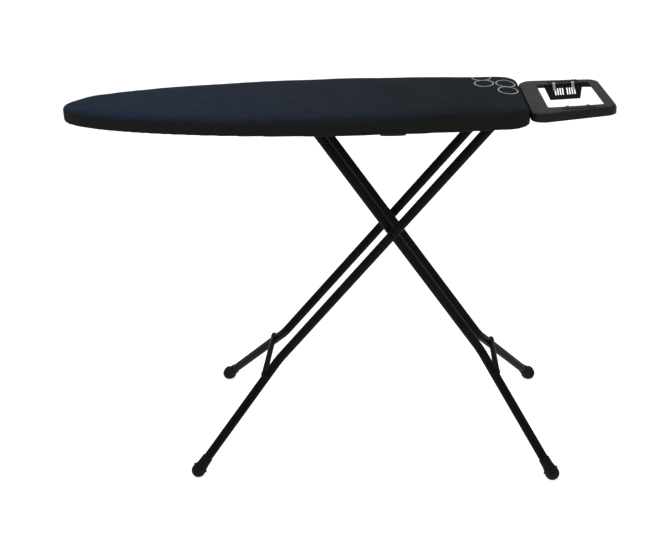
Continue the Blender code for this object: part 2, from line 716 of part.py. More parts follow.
def build_rest_tray(rest, plastic):
    """A moulded frame: a flat rim round the window, with a deep skirt round the outside."""
    outside = rounded_quad(0, REST_LENGTH, REST_HALF_LEFT, REST_HALF_RIGHT, REST_CORNER)
    window = rounded_quad(WINDOW_LEFT, WINDOW_RIGHT, WINDOW_HALF, WINDOW_HALF, WINDOW_CORNER)
    wall = REST_PLATE
    section = [(outside, 0, -REST_SKIRT), (outside, 0, -0.007), (outside, 0.0022, -0.0022)]
    section += [(outside, 0.007, 0), (window, -0.0025, 0), (window, 0, -0.0012), (window, 0, -RIM_DEPTH)]
    section += [(window, -wall, -RIM_DEPTH), (window, -wall, -wall)]
    section += [(outside, 0.008, -wall), (outside, wall, -0.008), (outside, wall, -REST_SKIRT)]
    rings = []
    for loop, inset, w in section:
        rings.append([(p.x, p.y, w) for p in inset_loop(loop, inset)])
    return add("iron_rest_tray", loft(rings, closed=True), rest, plastic, local=True)


def build_heel_guard(name, side, rest, plastic):
    """A slotted plate that slopes down and inwards from a long rail of the window."""
    low = -RIM_DEPTH - 0.0005
    flat = [(WINDOW_HALF + 0.0080, low), (WINDOW_HALF - 0.0015, low)]
    along = Vector((-math.cos(GUARD_SLOPE), -math.sin(GUARD_SLOPE)))
    end = Vector(flat[-1]) + along * GUARD_LENGTH
    shape = band(flat + [tuple(end)], GUARD_THICKNESS)
    rings = []
    for hand in (-1, 1):
        ring = []
        for y, w in shape:
            share = min(max((WINDOW_HALF - y) / (WINDOW_HALF - end.x), 0), 1)
            half = (GUARD_TOP_WIDTH + (GUARD_BOTTOM_WIDTH - GUARD_TOP_WIDTH) * share) / 2
            ring.append((GUARD_CENTRE + hand * half, side * y, w))
        rings.append(ring)
    guard = add(name, loft(rings), rest, plastic, local=True)
    middle = Vector(flat[-1]) + along * (GUARD_LENGTH * GRILLE_PLACE)
    width, length = GRILLE_SLOT
    bm = bmesh.new()
    for i in range(GRILLE_COUNT):
        step = i - (GRILLE_COUNT - 1) / 2
        u = GUARD_CENTRE + GRILLE_SHIFT + step * GRILLE_PITCH + math.copysign(GRILLE_GAP / 2, step)
        place = Matrix.Translation((u, side * middle.x, middle.y))
        place @= Matrix.Rotation(side * GUARD_SLOPE, 4, "X")
        place @= Matrix.Diagonal((width, length, 0.02, 1))
        bmesh.ops.create_cube(bm, size=1, matrix=place)
    cut(guard, add(name + "_cutter", bm, rest, plastic, local=True))


def build_guard_clips(side, word, rest, bright_steel):
    """Two bright strips that hook over the window's edge and lie on the guard."""
    along = Vector((-math.cos(GUARD_SLOPE), -math.sin(GUARD_SLOPE)))
    knee = Vector((WINDOW_HALF - 0.0030, -0.0050))
    path = [(WINDOW_HALF + CLIP_HOOK, GAP), (WINDOW_HALF - 0.0022, GAP), tuple(knee)]
    path.append(tuple(knee + along * 0.016))
    shape = band([(-y, w) for y, w in path], CLIP_THICKNESS)
    for hand, place in ((-1, "left"), (1, "right")):
        centre = GUARD_CENTRE + hand * CLIP_SPACING / 2
        points = [(-side * y, w) for y, w in shape]
        bm = prism_along_x(points, centre - CLIP_WIDTH / 2, centre + CLIP_WIDTH / 2)
        add(f"guard_clip_{word}_{place}", bm, rest, bright_steel, local=True)


def build_rest_pad(name, side, rest, silicone):
    """A strip with a row of cross ribs, laid on the long rail."""
    start = GUARD_CENTRE - RIB_COUNT * RIB_PITCH / 2
    low = GAP
    base = low + PAD_BASE
    top = low + RIB_HEIGHT
    points = [(start, low), (start + RIB_COUNT * RIB_PITCH, low)]
    for i in reversed(range(RIB_COUNT)):
        left = start + i * RIB_PITCH + (RIB_PITCH - RIB_WIDTH) / 2
        right = left + RIB_WIDTH
        if i == RIB_COUNT - 1:
            points.append((start + RIB_COUNT * RIB_PITCH, base))
        points += [(right, base), (right - 0.0004, top), (left + 0.0004, top), (left, base)]
    points.append((start, base))
    centre = side * REST_PAD_Y
    bm = prism_along_y(points, centre - REST_PAD_HALF_Y, centre + REST_PAD_HALF_Y)
    add(name, bm, rest, silicone, local=True)


def build_rest_strap(deck, steel):
    """A flat steel strap from inside the deck's end, under its edge, up to the rest's left bar."""
    inside_x = DECK_END_X - COVER_HEM - 0.0035
    rise_x = REST_START_X + 0.0095
    foot_x = REST_START_X + SCREW_U - STRAP_FOOT / 2
    foot_z = REST_START_Z - REST_PLATE - GAP - STRAP_THICKNESS
    path = [(inside_x + 0.014, HANG_Z), (inside_x, HANG_Z), (inside_x, STRAP_LOW_Z), (rise_x, STRAP_LOW_Z)]
    for x in (foot_x, foot_x + STRAP_FOOT):
        path.append((x, foot_z + (x - REST_START_X) * math.tan(REST_TILT)))
    shape = band(path, STRAP_THICKNESS)
    return add("rest_strap", prism_along_y(shape, -STRAP_HALF_WIDTH, STRAP_HALF_WIDTH), deck, steel)


def build_rest_screws(strap, tray, rest, bright_steel):
    """Pan-head screws up through the strap's holes into blind holes in the rest's bar."""
    head_top = -REST_PLATE - STRAP_THICKNESS - 2 * GAP
    tip = -0.0010
    for side, word in ((-1, "near"), (1, "far")):
        profile = [(0, 0.0028), (0.0006, 0.0042), (0.0020, 0.0048), (SCREW_HEAD, 0.0048)]
        profile += [(SCREW_HEAD, SCREW_RADIUS), (SCREW_HEAD + tip - head_top, SCREW_RADIUS)]
        base = Vector((SCREW_U, side * SCREW_Y, head_top - SCREW_HEAD))
        screw = turned(base, (0, 0, 1), profile, SMALL_ROUND)
        add("rest_screw_" + word, screw, rest, bright_steel, local=True)
        low = (SCREW_U, side * SCREW_Y, head_top - GAP)
        hole = rod(low, (SCREW_U, side * SCREW_Y, tip + GAP), SCREW_RADIUS + GAP)
        cutter = add(f"rest_screw_{word}_cutter", hole, rest, bright_steel, local=True)
        cut(strap, cutter)
        cut(tray, cutter)


def build_all():
    clear_scene()
    cloth = material("cover_cloth", (0.016, 0.021, 0.028), 0.9)
    felt = material("pad_felt", (0.55, 0.53, 0.50), 0.95)
    mesh_steel = material("deck_steel", (0.10, 0.10, 0.11), 0.5, 0.6)
    paint = material("black_paint", (0.010, 0.010, 0.010), 0.42)
    rubber = material("foot_rubber", (0.012, 0.012, 0.012), 0.7)
    nylon = material("nylon", (0.03, 0.03, 0.03), 0.5)
    plastic = material("rest_plastic", (0.028, 0.030, 0.033), 0.55)
    silicone = material("silicone", (0.010, 0.010, 0.010), 0.65)
    bright = material("bright_steel", (0.62, 0.63, 0.65), 0.3, 1.0)

    deck = empty("deck", (0, 0, 0))
    outer_leg = empty("outer_leg", OUTER_TOP)
    inner_leg = empty("inner_leg", CROSS)
    lever = empty("lever", (ROD_RIGHT_X, ROD_Y, ROD_Z))
    rest = empty("iron_rest", (REST_START_X, 0, REST_START_Z), REST_TILT)

    build_cover(deck, cloth)
    build_pad(deck, felt)
    build_panel(deck, mesh_steel)
    build_edge_rails(deck, paint)
    build_cross_members(deck, paint)
    build_slide_tracks(deck, paint)
    build_hinge_brackets(deck, paint)
    build_hinge_rod(deck, bright)
    build_outer_leg(outer_leg, paint, rubber)
    build_inner_leg(inner_leg, paint, rubber, nylon)
    build_crossing(outer_leg, paint, nylon)
    build_release_rod(lever, bright)
    build_grip(lever, plastic)
    build_pawl(lever, bright)
    build_rod_clips(deck, paint)
    build_lever_spring(deck, bright)
    tray = build_rest_tray(rest, plastic)
    strap = build_rest_strap(deck, paint)
    build_rest_screws(strap, tray, rest, bright)
    for side, word in ((-1, "near"), (1, "far")):
        build_heel_guard("heel_guard_" + word, side, rest, plastic)
        build_guard_clips(side, word, rest, bright)
        build_rest_pad("rest_pad_" + word, side, rest, silicone)


build_all()
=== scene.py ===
import json
import math

import bmesh
import bpy
import numpy as np
from mathutils import Matrix, Vector, noise


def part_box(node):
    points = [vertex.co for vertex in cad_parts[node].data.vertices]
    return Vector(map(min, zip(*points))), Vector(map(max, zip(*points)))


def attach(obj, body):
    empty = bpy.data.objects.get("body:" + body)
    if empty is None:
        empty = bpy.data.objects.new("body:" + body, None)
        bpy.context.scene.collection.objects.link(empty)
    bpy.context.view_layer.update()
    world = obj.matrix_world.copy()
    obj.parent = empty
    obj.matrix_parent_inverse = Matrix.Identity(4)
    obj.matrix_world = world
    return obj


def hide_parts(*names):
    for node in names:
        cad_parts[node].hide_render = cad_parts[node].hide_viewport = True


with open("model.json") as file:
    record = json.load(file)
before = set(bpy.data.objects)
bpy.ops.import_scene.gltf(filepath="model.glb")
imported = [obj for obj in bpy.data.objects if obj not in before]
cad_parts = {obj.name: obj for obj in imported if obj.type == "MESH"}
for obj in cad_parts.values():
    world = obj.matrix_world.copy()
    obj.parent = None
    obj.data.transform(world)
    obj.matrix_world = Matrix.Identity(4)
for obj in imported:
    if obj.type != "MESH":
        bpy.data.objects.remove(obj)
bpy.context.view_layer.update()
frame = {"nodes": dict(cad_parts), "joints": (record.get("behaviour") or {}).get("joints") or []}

# The frame's own places
JOINTS = {joint["name"]: joint for joint in frame["joints"]}
HINGE = Vector(JOINTS["outer_leg_hinge"]["pos_m"])
CROSS = Vector(JOINTS["cross_pivot"]["pos_m"])
BAR_LOW, BAR_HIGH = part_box("inner_leg_slide_bar")
BAR = (BAR_LOW + BAR_HIGH) / 2
COVER_LOW, COVER_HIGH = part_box("board_cover")
PAD_LOW, PAD_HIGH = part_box("board_pad")
PANEL_LOW, PANEL_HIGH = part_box("deck_panel")

# Deck outline
NOSE_LENGTH = 0.650
NOSE_POWER = 1.7
NOSE_ROUNDING = 0.488
END_TAPER = 0.145
END_CORNER = 0.053
NOSE_CROWN_LENGTH = 0.075
NOSE_CROWN = 2.2
NOSE_STEPS = 44
SIDE_STEPS = 26
CORNER_STEPS = 14
EDGE_STEP = 0.006

# Cover. Each level is how far it lies inside the outline, its height from the cover's lower or
# upper side, and, near the top, whether it is drawn further in at the nose
COVER_LIFT = 0.0006
LEVELS_FROM_LOW = ((0.0038, -0.0008), (-0.0012, -0.0004), (-0.0024, 0.0028), (-0.0022, 0.016))
LEVELS_FROM_TOP = ((-0.0020, -0.0112, False), (-0.0002, -0.0072, False), (0.0034, -0.0046, True))
LEVELS_FROM_TOP += ((0.0070, -0.0024, True), (0.0120, -0.0014, True))
CLOTH_THICKNESS = 0.0008
COVER_VOXEL = 0.006
COVER_PRESSURE = 4.0
COVER_CAP = 0.0026
COVER_PROUD = 0.0012
PIN_HEIGHT = 0.004
TOP_ZONE = 0.004
TOP_WAVE = 0.00035
CLOTH_FRAMES = 20

# Hem, gathers and stitches
HEM_WIDTH = 0.023
HEM_HEIGHT = 0.0012
HEM_HALF_WIDTH = 0.0034
HEM_HALF_DEPTH = 0.0016
HEM_SIDES = 10
HEM_GATHER_TURN = 2.05
HEM_WAVE = 0.0006
UNDERSIDE_HEIGHT = 0.006
GATHER_HEIGHT = 0.022
HEM_FOLDS = (0.0011, 0.0005)
SIDE_FOLDS = (0.0005, 0.0002)
GATHER_PITCH = 0.019
FINE_GATHER_PITCH = 0.0085
STITCH_PITCH = 0.0042
STITCH_HALF_LENGTH = 0.0014
STITCH_DIP = 0.00045
STITCH_RADIUS = 0.00026
STITCH_FROM_HEM = 0.0048

# Pad and deck mesh
PAD_GAP = 0.0022
PAD_LEVELS_FROM_LOW = ((0.0072, 0), (0.0060, 0.0006), (0.0064, 0.0018))
PAD_LEVELS_FROM_TOP = ((0.0130, -0.0030), (0.0190, -0.0011), (0.0290, -0.0002))
PAD_SHARES = (0.2, 0.45, 0.7, 0.9)
PAD_END_MARGIN = 0.10
MESH_PITCH_X = 0.0200
MESH_PITCH_Y = 0.0092
MESH_RIM = 0.013
STRAND_THICKNESS = 0.0016
RIM_INSET = 0.0056
RIM_OVERLAP = 0.009

# Legs
TUBE_RADIUS = 0.0116
TUBE_WALL = 0.0012
TUBE_SIDES = 48
TUBE_EDGE = 0.0003
TUBE_FIRST_RUN = 0.004
TUBE_END_IN_FOOT = 0.0145
OUTER_TOP_GAP = 0.0086
INNER_TOP_GAP = 0.0066
OUTER_HALF_GAUGES = (0.0705, 0.0742)
INNER_HALF_GAUGES = (0.0392, 0.0410)
OUTER_KINK_Z = 0.2472
INNER_KINK_Z = 0.2578
OUTER_FOOT_X = -0.3558
INNER_FOOT_X = 0.5335
FOOT_HALF_SPREAD = 0.2350
FOOT_Z = 0.0196
FOOT_END_Z = 0.0096
KINK_RADIUS = 0.060
KINK_STEPS = 16
BRACE_RADIUS = 0.0075
BRACE_END = ((0, 0.0050), (0.0010, 0.0068), (0.0025, BRACE_RADIUS))
WELD_SIZE = 0.0011
WELD_STEPS = 56
WELD_SIDES = 8
WELD_GAP = 0.0002
RIVET_BORE = 0.0034
HINGE_TUBE = (0.0080, 0.0044)
SPACER = (0.0070, 0.0034)
ROLLER = (0.0090, 0.0063)
ROLLER_EDGE = 0.0008

# Foot: profiles are pairs of how far up the leg and how far out from its axis
DOME_MIDDLE = 0.0099
DOME_RADIUS = 0.0179
DOME_TURN = 102
DOME_STEPS = 21
FOOT_LIP = ((0.0150, 0.0180), (0.0158, 0.0183), (0.0163, 0.0192), (0.0169, 0.0195), (0.0186, 0.0195))
FOOT_LIP += ((0.0193, 0.0191), (0.0200, 0.0177), (0.0215, 0.0165), (0.0235, 0.0155), (0.0265, 0.0149))
GROOVES = (0.0300, 0.0335, 0.0370, 0.0405, 0.0440)
GROOVE_DEPTH = 0.0006
GROOVE_FLOOR = (0.0004, 0.0012)
GROOVE_WIDTH = 0.0016
SLEEVE_RADIUS = 0.0145
SLEEVE_TAPER = 0.0006
FOOT_MOUTH = ((0.0480, 0.0138), (0.0505, 0.0137), (0.0512, 0.0134), (0.0515, 0.0128), (0.0515, 0.0116))
FOOT_MOUTH += ((0.0140, 0.0116),)

# Lamps: name, place, size in metres and power in watts
LAMPS = (("key", (-1.3, -1.7, 2.9), 1.8, 22.0), ("fill", (2.1, -1.3, 1.9), 1.6, 10.0))
LAMPS += (("back", (0.3, 2.2, 2.6), 2.0, 18.0),)
LAMP_AIM = Vector((0.0, 0.0, 0.55))

# Camera, with its turns in degrees
CAMERA_LENS = 50.27
CAMERA_PLACE = (0.1705, -2.1551, 1.4774)
CAMERA_PAN = 4.781
CAMERA_TILT = 24.876
CAMERA_ROLL = -2.519


def new_piece(name, bm, body, finish, replaced=()):
    """Makes a smooth mesh object in place, on its body, standing for the nodes named."""
    bmesh.ops.recalc_face_normals(bm, faces=bm.faces)
    mesh = bpy.data.meshes.new(name)
    bm.to_mesh(mesh)
    bm.free()
    if "custom_normal" in mesh.attributes:
        mesh.attributes.remove(mesh.attributes["custom_normal"])
    mesh.materials.clear()
    mesh.materials.append(finish)
    mesh.shade_smooth()
    piece = bpy.data.objects.new(name, mesh)
    bpy.context.scene.collection.objects.link(piece)
    return settle(piece, body, replaced)


def settle(piece, body, replaced=()):
    """Puts a piece on its body, in place of the nodes named."""
    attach(piece, body)
    if replaced:
        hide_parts(*replaced)
    return piece


def add_bevel(piece, width, segments=2):
    bevel = piece.modifiers.new("edge", "BEVEL")
    bevel.width = width
    bevel.segments = segments
    bevel.limit_method = "ANGLE"
    bevel.angle_limit = math.radians(28)
    normals = piece.modifiers.new("normals", "WEIGHTED_NORMAL")
    normals.keep_sharp = True


def add_subdivision(piece, levels):
    rounded = piece.modifiers.new("rounded", "SUBSURF")
    rounded.levels = levels
    rounded.render_levels = levels


def node_mesh(node):
    """The node's solid with its flat faces whole again, as a new bmesh."""
    bm = bmesh.new()
    bm.from_mesh(frame["nodes"][node].data)
    bmesh.ops.remove_doubles(bm, verts=bm.verts, dist=2e-6)
    bmesh.ops.dissolve_limit(bm, angle_limit=math.radians(0.4), verts=bm.verts, edges=bm.edges)
    triangles = [face for face in bm.faces if len(face.verts) == 3]
    bmesh.ops.join_triangles(
        bm, faces=triangles, angle_face_threshold=math.radians(10), angle_shape_threshold=math.radians(50)
    )
    return bm


def bevelled(node, body, finish, width, segments=2):
    piece = new_piece(node + "_shape", node_mesh(node), body, finish, (node,))
    add_bevel(piece, width, segments)
    return piece


def crease_sharp_edges(bm, angle, amount):
    layer = bm.edges.layers.float.get("crease_edge") or bm.edges.layers.float.new("crease_edge")
    for edge in bm.edges:
        if len(edge.link_faces) == 2 and edge.calc_face_angle() > math.radians(angle):
            edge[layer] = amount
            edge.smooth = amount < 1


def rounded(node, body, finish, slot, levels=1, angle=32, amount=1.0):
    bm = node_mesh(node)
    bmesh.ops.recalc_face_normals(bm, faces=bm.faces)
    crease_sharp_edges(bm, angle, amount)
    piece = new_piece(node + "_shape", bm, body, finish, (node,))
    add_subdivision(piece, levels)
    return piece


def loft(rings, closed=False):
    """Skins a row of equal rings. The row ends in a face at each end, unless it closes on itself."""
    bm = bmesh.new()
    loops = [[bm.verts.new(point) for point in ring] for ring in rings]
    size = len(loops[0])
    for step in range(len(loops) if closed else len(loops) - 1):
        here = loops[step]
        there = loops[(step + 1) % len(loops)]
        for i in range(size):
            j = (i + 1) % size
            bm.faces.new((here[i], here[j], there[j], there[i]))
    if not closed:
        bm.faces.new(loops[0])
        bm.faces.new(loops[-1])
    return bm


def circle(centre, across, up, radius, sides):
    turns = [2 * math.pi * i / sides for i in range(sides)]
    return [centre + (across * math.cos(a) + up * math.sin(a)) * radius for a in turns]


def sweep_rings(path, radius, sides):
    directions = [(after - before).normalized() for before, after in zip(path, path[1:])]
    tangents = [directions[0]]
    tangents += [(a + b).normalized() for a, b in zip(directions, directions[1:])]
    tangents.append(directions[-1])
    across = tangents[0].orthogonal().normalized()
    rings = []
    for point, tangent in zip(path, tangents):
        across = (across - tangent * across.dot(tangent)).normalized()
        rings.append(circle(point, across, tangent.cross(across), radius, sides))
    return rings


def arc_corner(corner, before, after, radius, steps):
    """Points on the arc that rounds a corner between its two neighbours."""
    towards_start = (before - corner).normalized()
    towards_end = (after - corner).normalized()
    half = towards_start.angle(towards_end) / 2
    inwards = (towards_start + towards_end).normalized()
    centre = corner + inwards * (radius / math.sin(half))
    start = corner + towards_start * (radius / math.tan(half)) - centre
    axis = start.cross(-inwards)
    turn = math.pi - 2 * half
    return [centre + Matrix.Rotation(turn * i / steps, 3, axis) @ start for i in range(steps + 1)]


def turned(base, direction, profile, sides=48):
    """A closed turned form: the profile holds pairs of place along the direction and radius."""
    direction = Vector(direction).normalized()
    across = direction.orthogonal().normalized()
    up = direction.cross(across)
    rings = [circle(Vector(base) + direction * t, across, up, radius, sides) for t, radius in profile]
    return loft(rings)


# Materials: each is one node tree over a Principled BSDF


class Finish:
    """A material with short calls for the nodes that this scene uses."""

    def __init__(self, name, roughness, metallic=0.0, specular=0.5):
        self.material = bpy.data.materials.new(name)
        self.material.use_nodes = True
        self.tree = self.material.node_tree
        self.shader = self.tree.nodes["Principled BSDF"]
        self.shader.inputs["Roughness"].default_value = roughness
        self.shader.inputs["Metallic"].default_value = metallic
        self.shader.inputs["Specular IOR Level"].default_value = specular
        self.place = self.tree.nodes.new("ShaderNodeTexCoord").outputs["Object"]

    def node(self, kind, values=None, **settings):
        made = self.tree.nodes.new(kind)
        for key, value in settings.items():
            setattr(made, key, value)
        for key, value in (values or {}).items():
            if isinstance(value, bpy.types.NodeSocket):
                self.tree.links.new(value, made.inputs[key])
            else:
                made.inputs[key].default_value = value
        return made

    def noise(self, scale, detail, rough, place=None, distortion=0.0):
        values = {"Vector": place or self.place, "Scale": scale, "Detail": detail, "Roughness": rough}
        values["Distortion"] = distortion
        return self.node("ShaderNodeTexNoise", values).outputs["Fac"]

    def stretched(self, stretch):
        values = {"Vector": self.place, "Scale": stretch}
        return self.node("ShaderNodeMapping", values).outputs["Vector"]

    def maths(self, operation, a, b=0.0, c=0.0):
        return self.node("ShaderNodeMath", {0: a, 1: b, 2: c}, operation=operation).outputs[0]

    def span(self, value, low, high, to_low=0.0, to_high=1.0):
        values = {"Value": value, "From Min": low, "From Max": high, "To Min": to_low, "To Max": to_high}
        return self.node("ShaderNodeMapRange", values).outputs["Result"]

    def mix(self, share, first, second):
        values = {0: share, 6: first, 7: second}
        return self.node("ShaderNodeMix", values, data_type="RGBA").outputs[2]

    def colour(self, value):
        self.tree.links.new(value, self.shader.inputs["Base Color"])

    def roughness(self, value):
        self.tree.links.new(value, self.shader.inputs["Roughness"])

    def bump(self, height, depth, strength, under=None):
        values = {"Height": height, "Distance": depth, "Strength": strength}
        if under is not None:
            values["Normal"] = under
        made = self.node("ShaderNodeBump", values).outputs["Normal"]
        self.tree.links.new(made, self.shader.inputs["Normal"])
        return made

    def set(self, **sockets):
        for name, value in sockets.items():
            self.shader.inputs[name.replace("_", " ")].default_value = value


def grey(value, red=1.0, blue=1.0):
    return (value * red, value, value * blue, 1.0)


def weave_plane(f):
    """Where on the board a point is, how far the cloth faces up, and two coordinates along it."""
    x, y, z = f.node("ShaderNodeSeparateXYZ", {0: f.place}).outputs
    normal = f.node("ShaderNodeNewGeometry").outputs["Normal"]
    nx, ny, nz = f.node("ShaderNodeSeparateXYZ", {0: normal}).outputs
    flat = f.maths("GREATER_THAN", f.maths("ABSOLUTE", nz), 0.6)
    endwise = f.maths("GREATER_THAN", f.maths("ABSOLUTE", nx), f.maths("ABSOLUTE", ny))
    endwise = f.maths("MULTIPLY", endwise, f.maths("SUBTRACT", 1.0, flat))
    first = f.node("ShaderNodeMix", {0: endwise, 2: x, 3: y}).outputs[0]
    second = f.node("ShaderNodeMix", {0: flat, 2: z, 3: y}).outputs[0]
    return x, y, nz, first, second


def thread_wave(f, value, pitch):
    return f.maths("SINE", f.maths("MULTIPLY", value, 2 * math.pi / pitch))


WARP_PITCH = 0.00120
WEFT_PITCH = 0.00105
RINGS = ((0.3655, 0.1390), (0.3672, 0.0790), (0.4180, 0.0760), (0.4180, 0.0135))
RING_HALF_X = 0.0224
RING_HALF_Y = 0.0305
RING_LINE = 0.068


def ring_print(f, x, y, nz):
    """Four thin printed outlines near the square end."""
    mask = None
    for centre_x, centre_y in RINGS:
        across = f.maths("DIVIDE", f.maths("SUBTRACT", x, centre_x), RING_HALF_X)
        along = f.maths("DIVIDE", f.maths("SUBTRACT", y, centre_y), RING_HALF_Y)
        squared = f.maths("ADD", f.maths("MULTIPLY", across, across), f.maths("MULTIPLY", along, along))
        off = f.maths("ABSOLUTE", f.maths("SUBTRACT", f.maths("SQRT", squared), 1.0))
        line = f.span(off, RING_LINE * 0.55, RING_LINE, 1.0, 0.0)
        mask = line if mask is None else f.maths("MAXIMUM", mask, line)
    worn = f.span(f.noise(scale=260.0, detail=3.0, rough=0.7), 0.30, 0.62, 0.55, 1.0)
    return f.maths("MULTIPLY", f.maths("MULTIPLY", mask, worn), f.maths("GREATER_THAN", nz, 0.4))


def cloth_finish(name, printed):
    """Closely woven cotton: plain weave, slubs, soft unevenness and a slight sheen, with painted shade in the
    weave's low places and on faces that do not face up.
    """
    f = Finish(name, 0.92, specular=0.05)
    x, y, nz, first, second = weave_plane(f)
    warp = thread_wave(f, first, WARP_PITCH)
    weft = thread_wave(f, second, WEFT_PITCH)
    weave = f.maths("MULTIPLY_ADD", f.maths("MULTIPLY", warp, weft), 0.5, 0.5)
    slub = f.noise(scale=1.0, detail=2.0, rough=0.6, place=f.stretched((45.0, 900.0, 900.0)))
    cross_slub = f.noise(scale=1.0, detail=2.0, rough=0.6, place=f.stretched((900.0, 55.0, 55.0)))
    soft = f.noise(scale=5.0, detail=4.0, rough=0.6)
    blotch = f.noise(scale=34.0, detail=4.0, rough=0.65)
    bluer = f.span(x, -0.45, 0.30, 1.0, 0.0)
    cool = (0.0185, 0.0350, 0.0760, 1.0)
    plain = (0.0068, 0.0102, 0.0120, 1.0)
    pale = (0.020, 0.027, 0.036, 1.0)
    dull = (0.0070, 0.0085, 0.0100, 1.0)
    thread_light = (0.030, 0.038, 0.047, 1.0)
    # painted shade: the colour for the low places of the weave
    painted_weave_shade = (0.0030, 0.0036, 0.0044, 1.0)
    # painted shade: the colour for faces that do not face up
    painted_side_shade = (0.0086, 0.0090, 0.0076, 1.0)
    ink = (0.70, 0.71, 0.72, 1.0)
    base = f.mix(bluer, plain, cool)
    lighter = f.mix(0.40, base, pale)
    base = f.mix(f.span(soft, 0.35, 0.68), base, lighter)
    base = f.mix(f.span(blotch, 0.30, 0.75, 0.0, 0.35), base, dull)
    threads = f.maths("MULTIPLY", f.span(slub, 0.35, 0.70), f.span(cross_slub, 0.30, 0.70, 0.4, 1.0))
    base = f.mix(f.maths("MULTIPLY", threads, 0.30), base, thread_light)
    # painted shade: the low places between the threads are drawn darker
    base = f.mix(f.span(weave, 0.0, 1.0, 0.30, 0.0), base, painted_weave_shade)
    # painted shade: faces that turn away from straight up (the cover's sides, hem and underside) take a
    # darker colour
    side = f.span(nz, 0.10, 0.90, 0.97, 0.0)
    base = f.mix(side, base, painted_side_shade)
    if printed:
        base = f.mix(ring_print(f, x, y, nz), base, ink)
    f.colour(base)
    f.roughness(f.span(blotch, 0.2, 0.8, 0.86, 0.97))
    fine = f.bump(weave, depth=0.00030, strength=0.55)
    slubs = f.bump(f.maths("ADD", slub, cross_slub), depth=0.00035, strength=0.45, under=fine)
    f.bump(f.noise(scale=38.0, detail=3.0, rough=0.5), depth=0.0011, strength=0.50, under=slubs)
    f.set(Sheen_Weight=0.015, Sheen_Roughness=0.45)
    return f.material


def felt_finish():
    """Pressed grey-white fibre felt with darker flecks."""
    f = Finish("pad_felt_fibres", 0.95, specular=0.2)
    fibres = f.noise(scale=420.0, detail=6.0, rough=0.75, distortion=1.6)
    clumps = f.noise(scale=60.0, detail=4.0, rough=0.6)
    base = f.mix(f.span(fibres, 0.3, 0.7), (0.40, 0.38, 0.35, 1.0), (0.66, 0.64, 0.60, 1.0))
    base = f.mix(f.span(clumps, 0.45, 0.75, 0.0, 0.4), base, (0.34, 0.33, 0.33, 1.0))
    flecks = f.span(f.noise(scale=900.0, detail=2.0, rough=0.5), 0.66, 0.72)
    f.colour(f.mix(f.maths("MULTIPLY", flecks, 0.7), base, (0.10, 0.11, 0.15, 1.0)))
    f.bump(fibres, depth=0.0008, strength=0.8)
    f.set(Sheen_Weight=0.2, Sheen_Roughness=0.6)
    return f.material


def paint_finish(name, base_value=0.0034, scuff=0.5):
    """Black powder coat on steel: orange peel, patchy gloss, a few rubbed flecks."""
    f = Finish(name, 0.50, specular=0.035)
    peel = f.noise(scale=620.0, detail=2.0, rough=0.45)
    patches = f.noise(scale=21.0, detail=4.0, rough=0.6)
    grain = f.noise(scale=1700.0, detail=2.0, rough=0.6)
    rub = f.noise(scale=95.0, detail=6.0, rough=0.72, place=f.stretched((1.0, 1.0, 0.45)))
    dark = grey(base_value * 0.75)
    light = grey(base_value * 1.6, 1.0, 0.97)
    base = f.mix(f.span(patches, 0.3, 0.72), dark, light)
    base = f.mix(f.span(grain, 0.60, 0.80, 0.0, 0.35), base, grey(base_value * 3.2))
    flecks = f.maths("MULTIPLY", f.span(rub, 0.665, 0.72), scuff)
    f.colour(f.mix(flecks, base, grey(0.030, 1.05, 0.95)))
    rough = f.span(patches, 0.25, 0.75, 0.40, 0.56)
    f.roughness(f.maths("ADD", rough, f.maths("MULTIPLY", flecks, 0.25)))
    under = f.bump(peel, depth=0.00035, strength=0.30)
    f.bump(grain, depth=0.00010, strength=0.35, under=under)
    f.set(Coat_Weight=0.02, Coat_Roughness=0.30)
    return f.material


def plastic_finish(name, base_value, blue, rough_low, rough_high, grain_depth=0.00022):
    """Moulded polypropylene with a fine spark-eroded grain and faint flow marks."""
    f = Finish(name, 0.55, specular=0.11)
    grain = f.node("ShaderNodeTexVoronoi", {"Vector": f.place, "Scale": 1150.0}).outputs["Distance"]
    flow = f.noise(scale=1.0, detail=4.0, rough=0.6, place=f.stretched((16.0, 46.0, 46.0)))
    dust = f.noise(scale=240.0, detail=5.0, rough=0.7)
    dark = grey(base_value * 0.80, 1.0, blue)
    light = grey(base_value * 1.25, 1.0, blue)
    base = f.mix(f.span(flow, 0.3, 0.7), dark, light)
    base = f.mix(f.span(dust, 0.60, 0.78, 0.0, 0.45), base, grey(base_value * 2.6, 1.02, 0.98))
    f.colour(base)
    f.roughness(f.span(flow, 0.2, 0.8, rough_low, rough_high))
    under = f.bump(grain, depth=grain_depth, strength=0.55)
    f.bump(f.noise(scale=70.0, detail=2.0, rough=0.5), depth=0.0003, strength=0.25, under=under)
    return f.material


def rubber_finish(name, base_value, rough):
    """Soft dark rubber with a dusty bloom."""
    f = Finish(name, rough, specular=0.07)
    bloom = f.noise(scale=120.0, detail=5.0, rough=0.7)
    speck = f.noise(scale=850.0, detail=3.0, rough=0.6)
    base = f.mix(f.span(bloom, 0.35, 0.75), grey(base_value), grey(base_value * 2.2, 1.02, 0.96))
    base = f.mix(f.span(speck, 0.64, 0.74, 0.0, 0.6), base, grey(0.055, 1.04, 0.94))
    f.colour(base)
    f.roughness(f.span(bloom, 0.2, 0.8, rough - 0.07, rough + 0.10))
    f.bump(speck, depth=0.00022, strength=0.5)
    return f.material


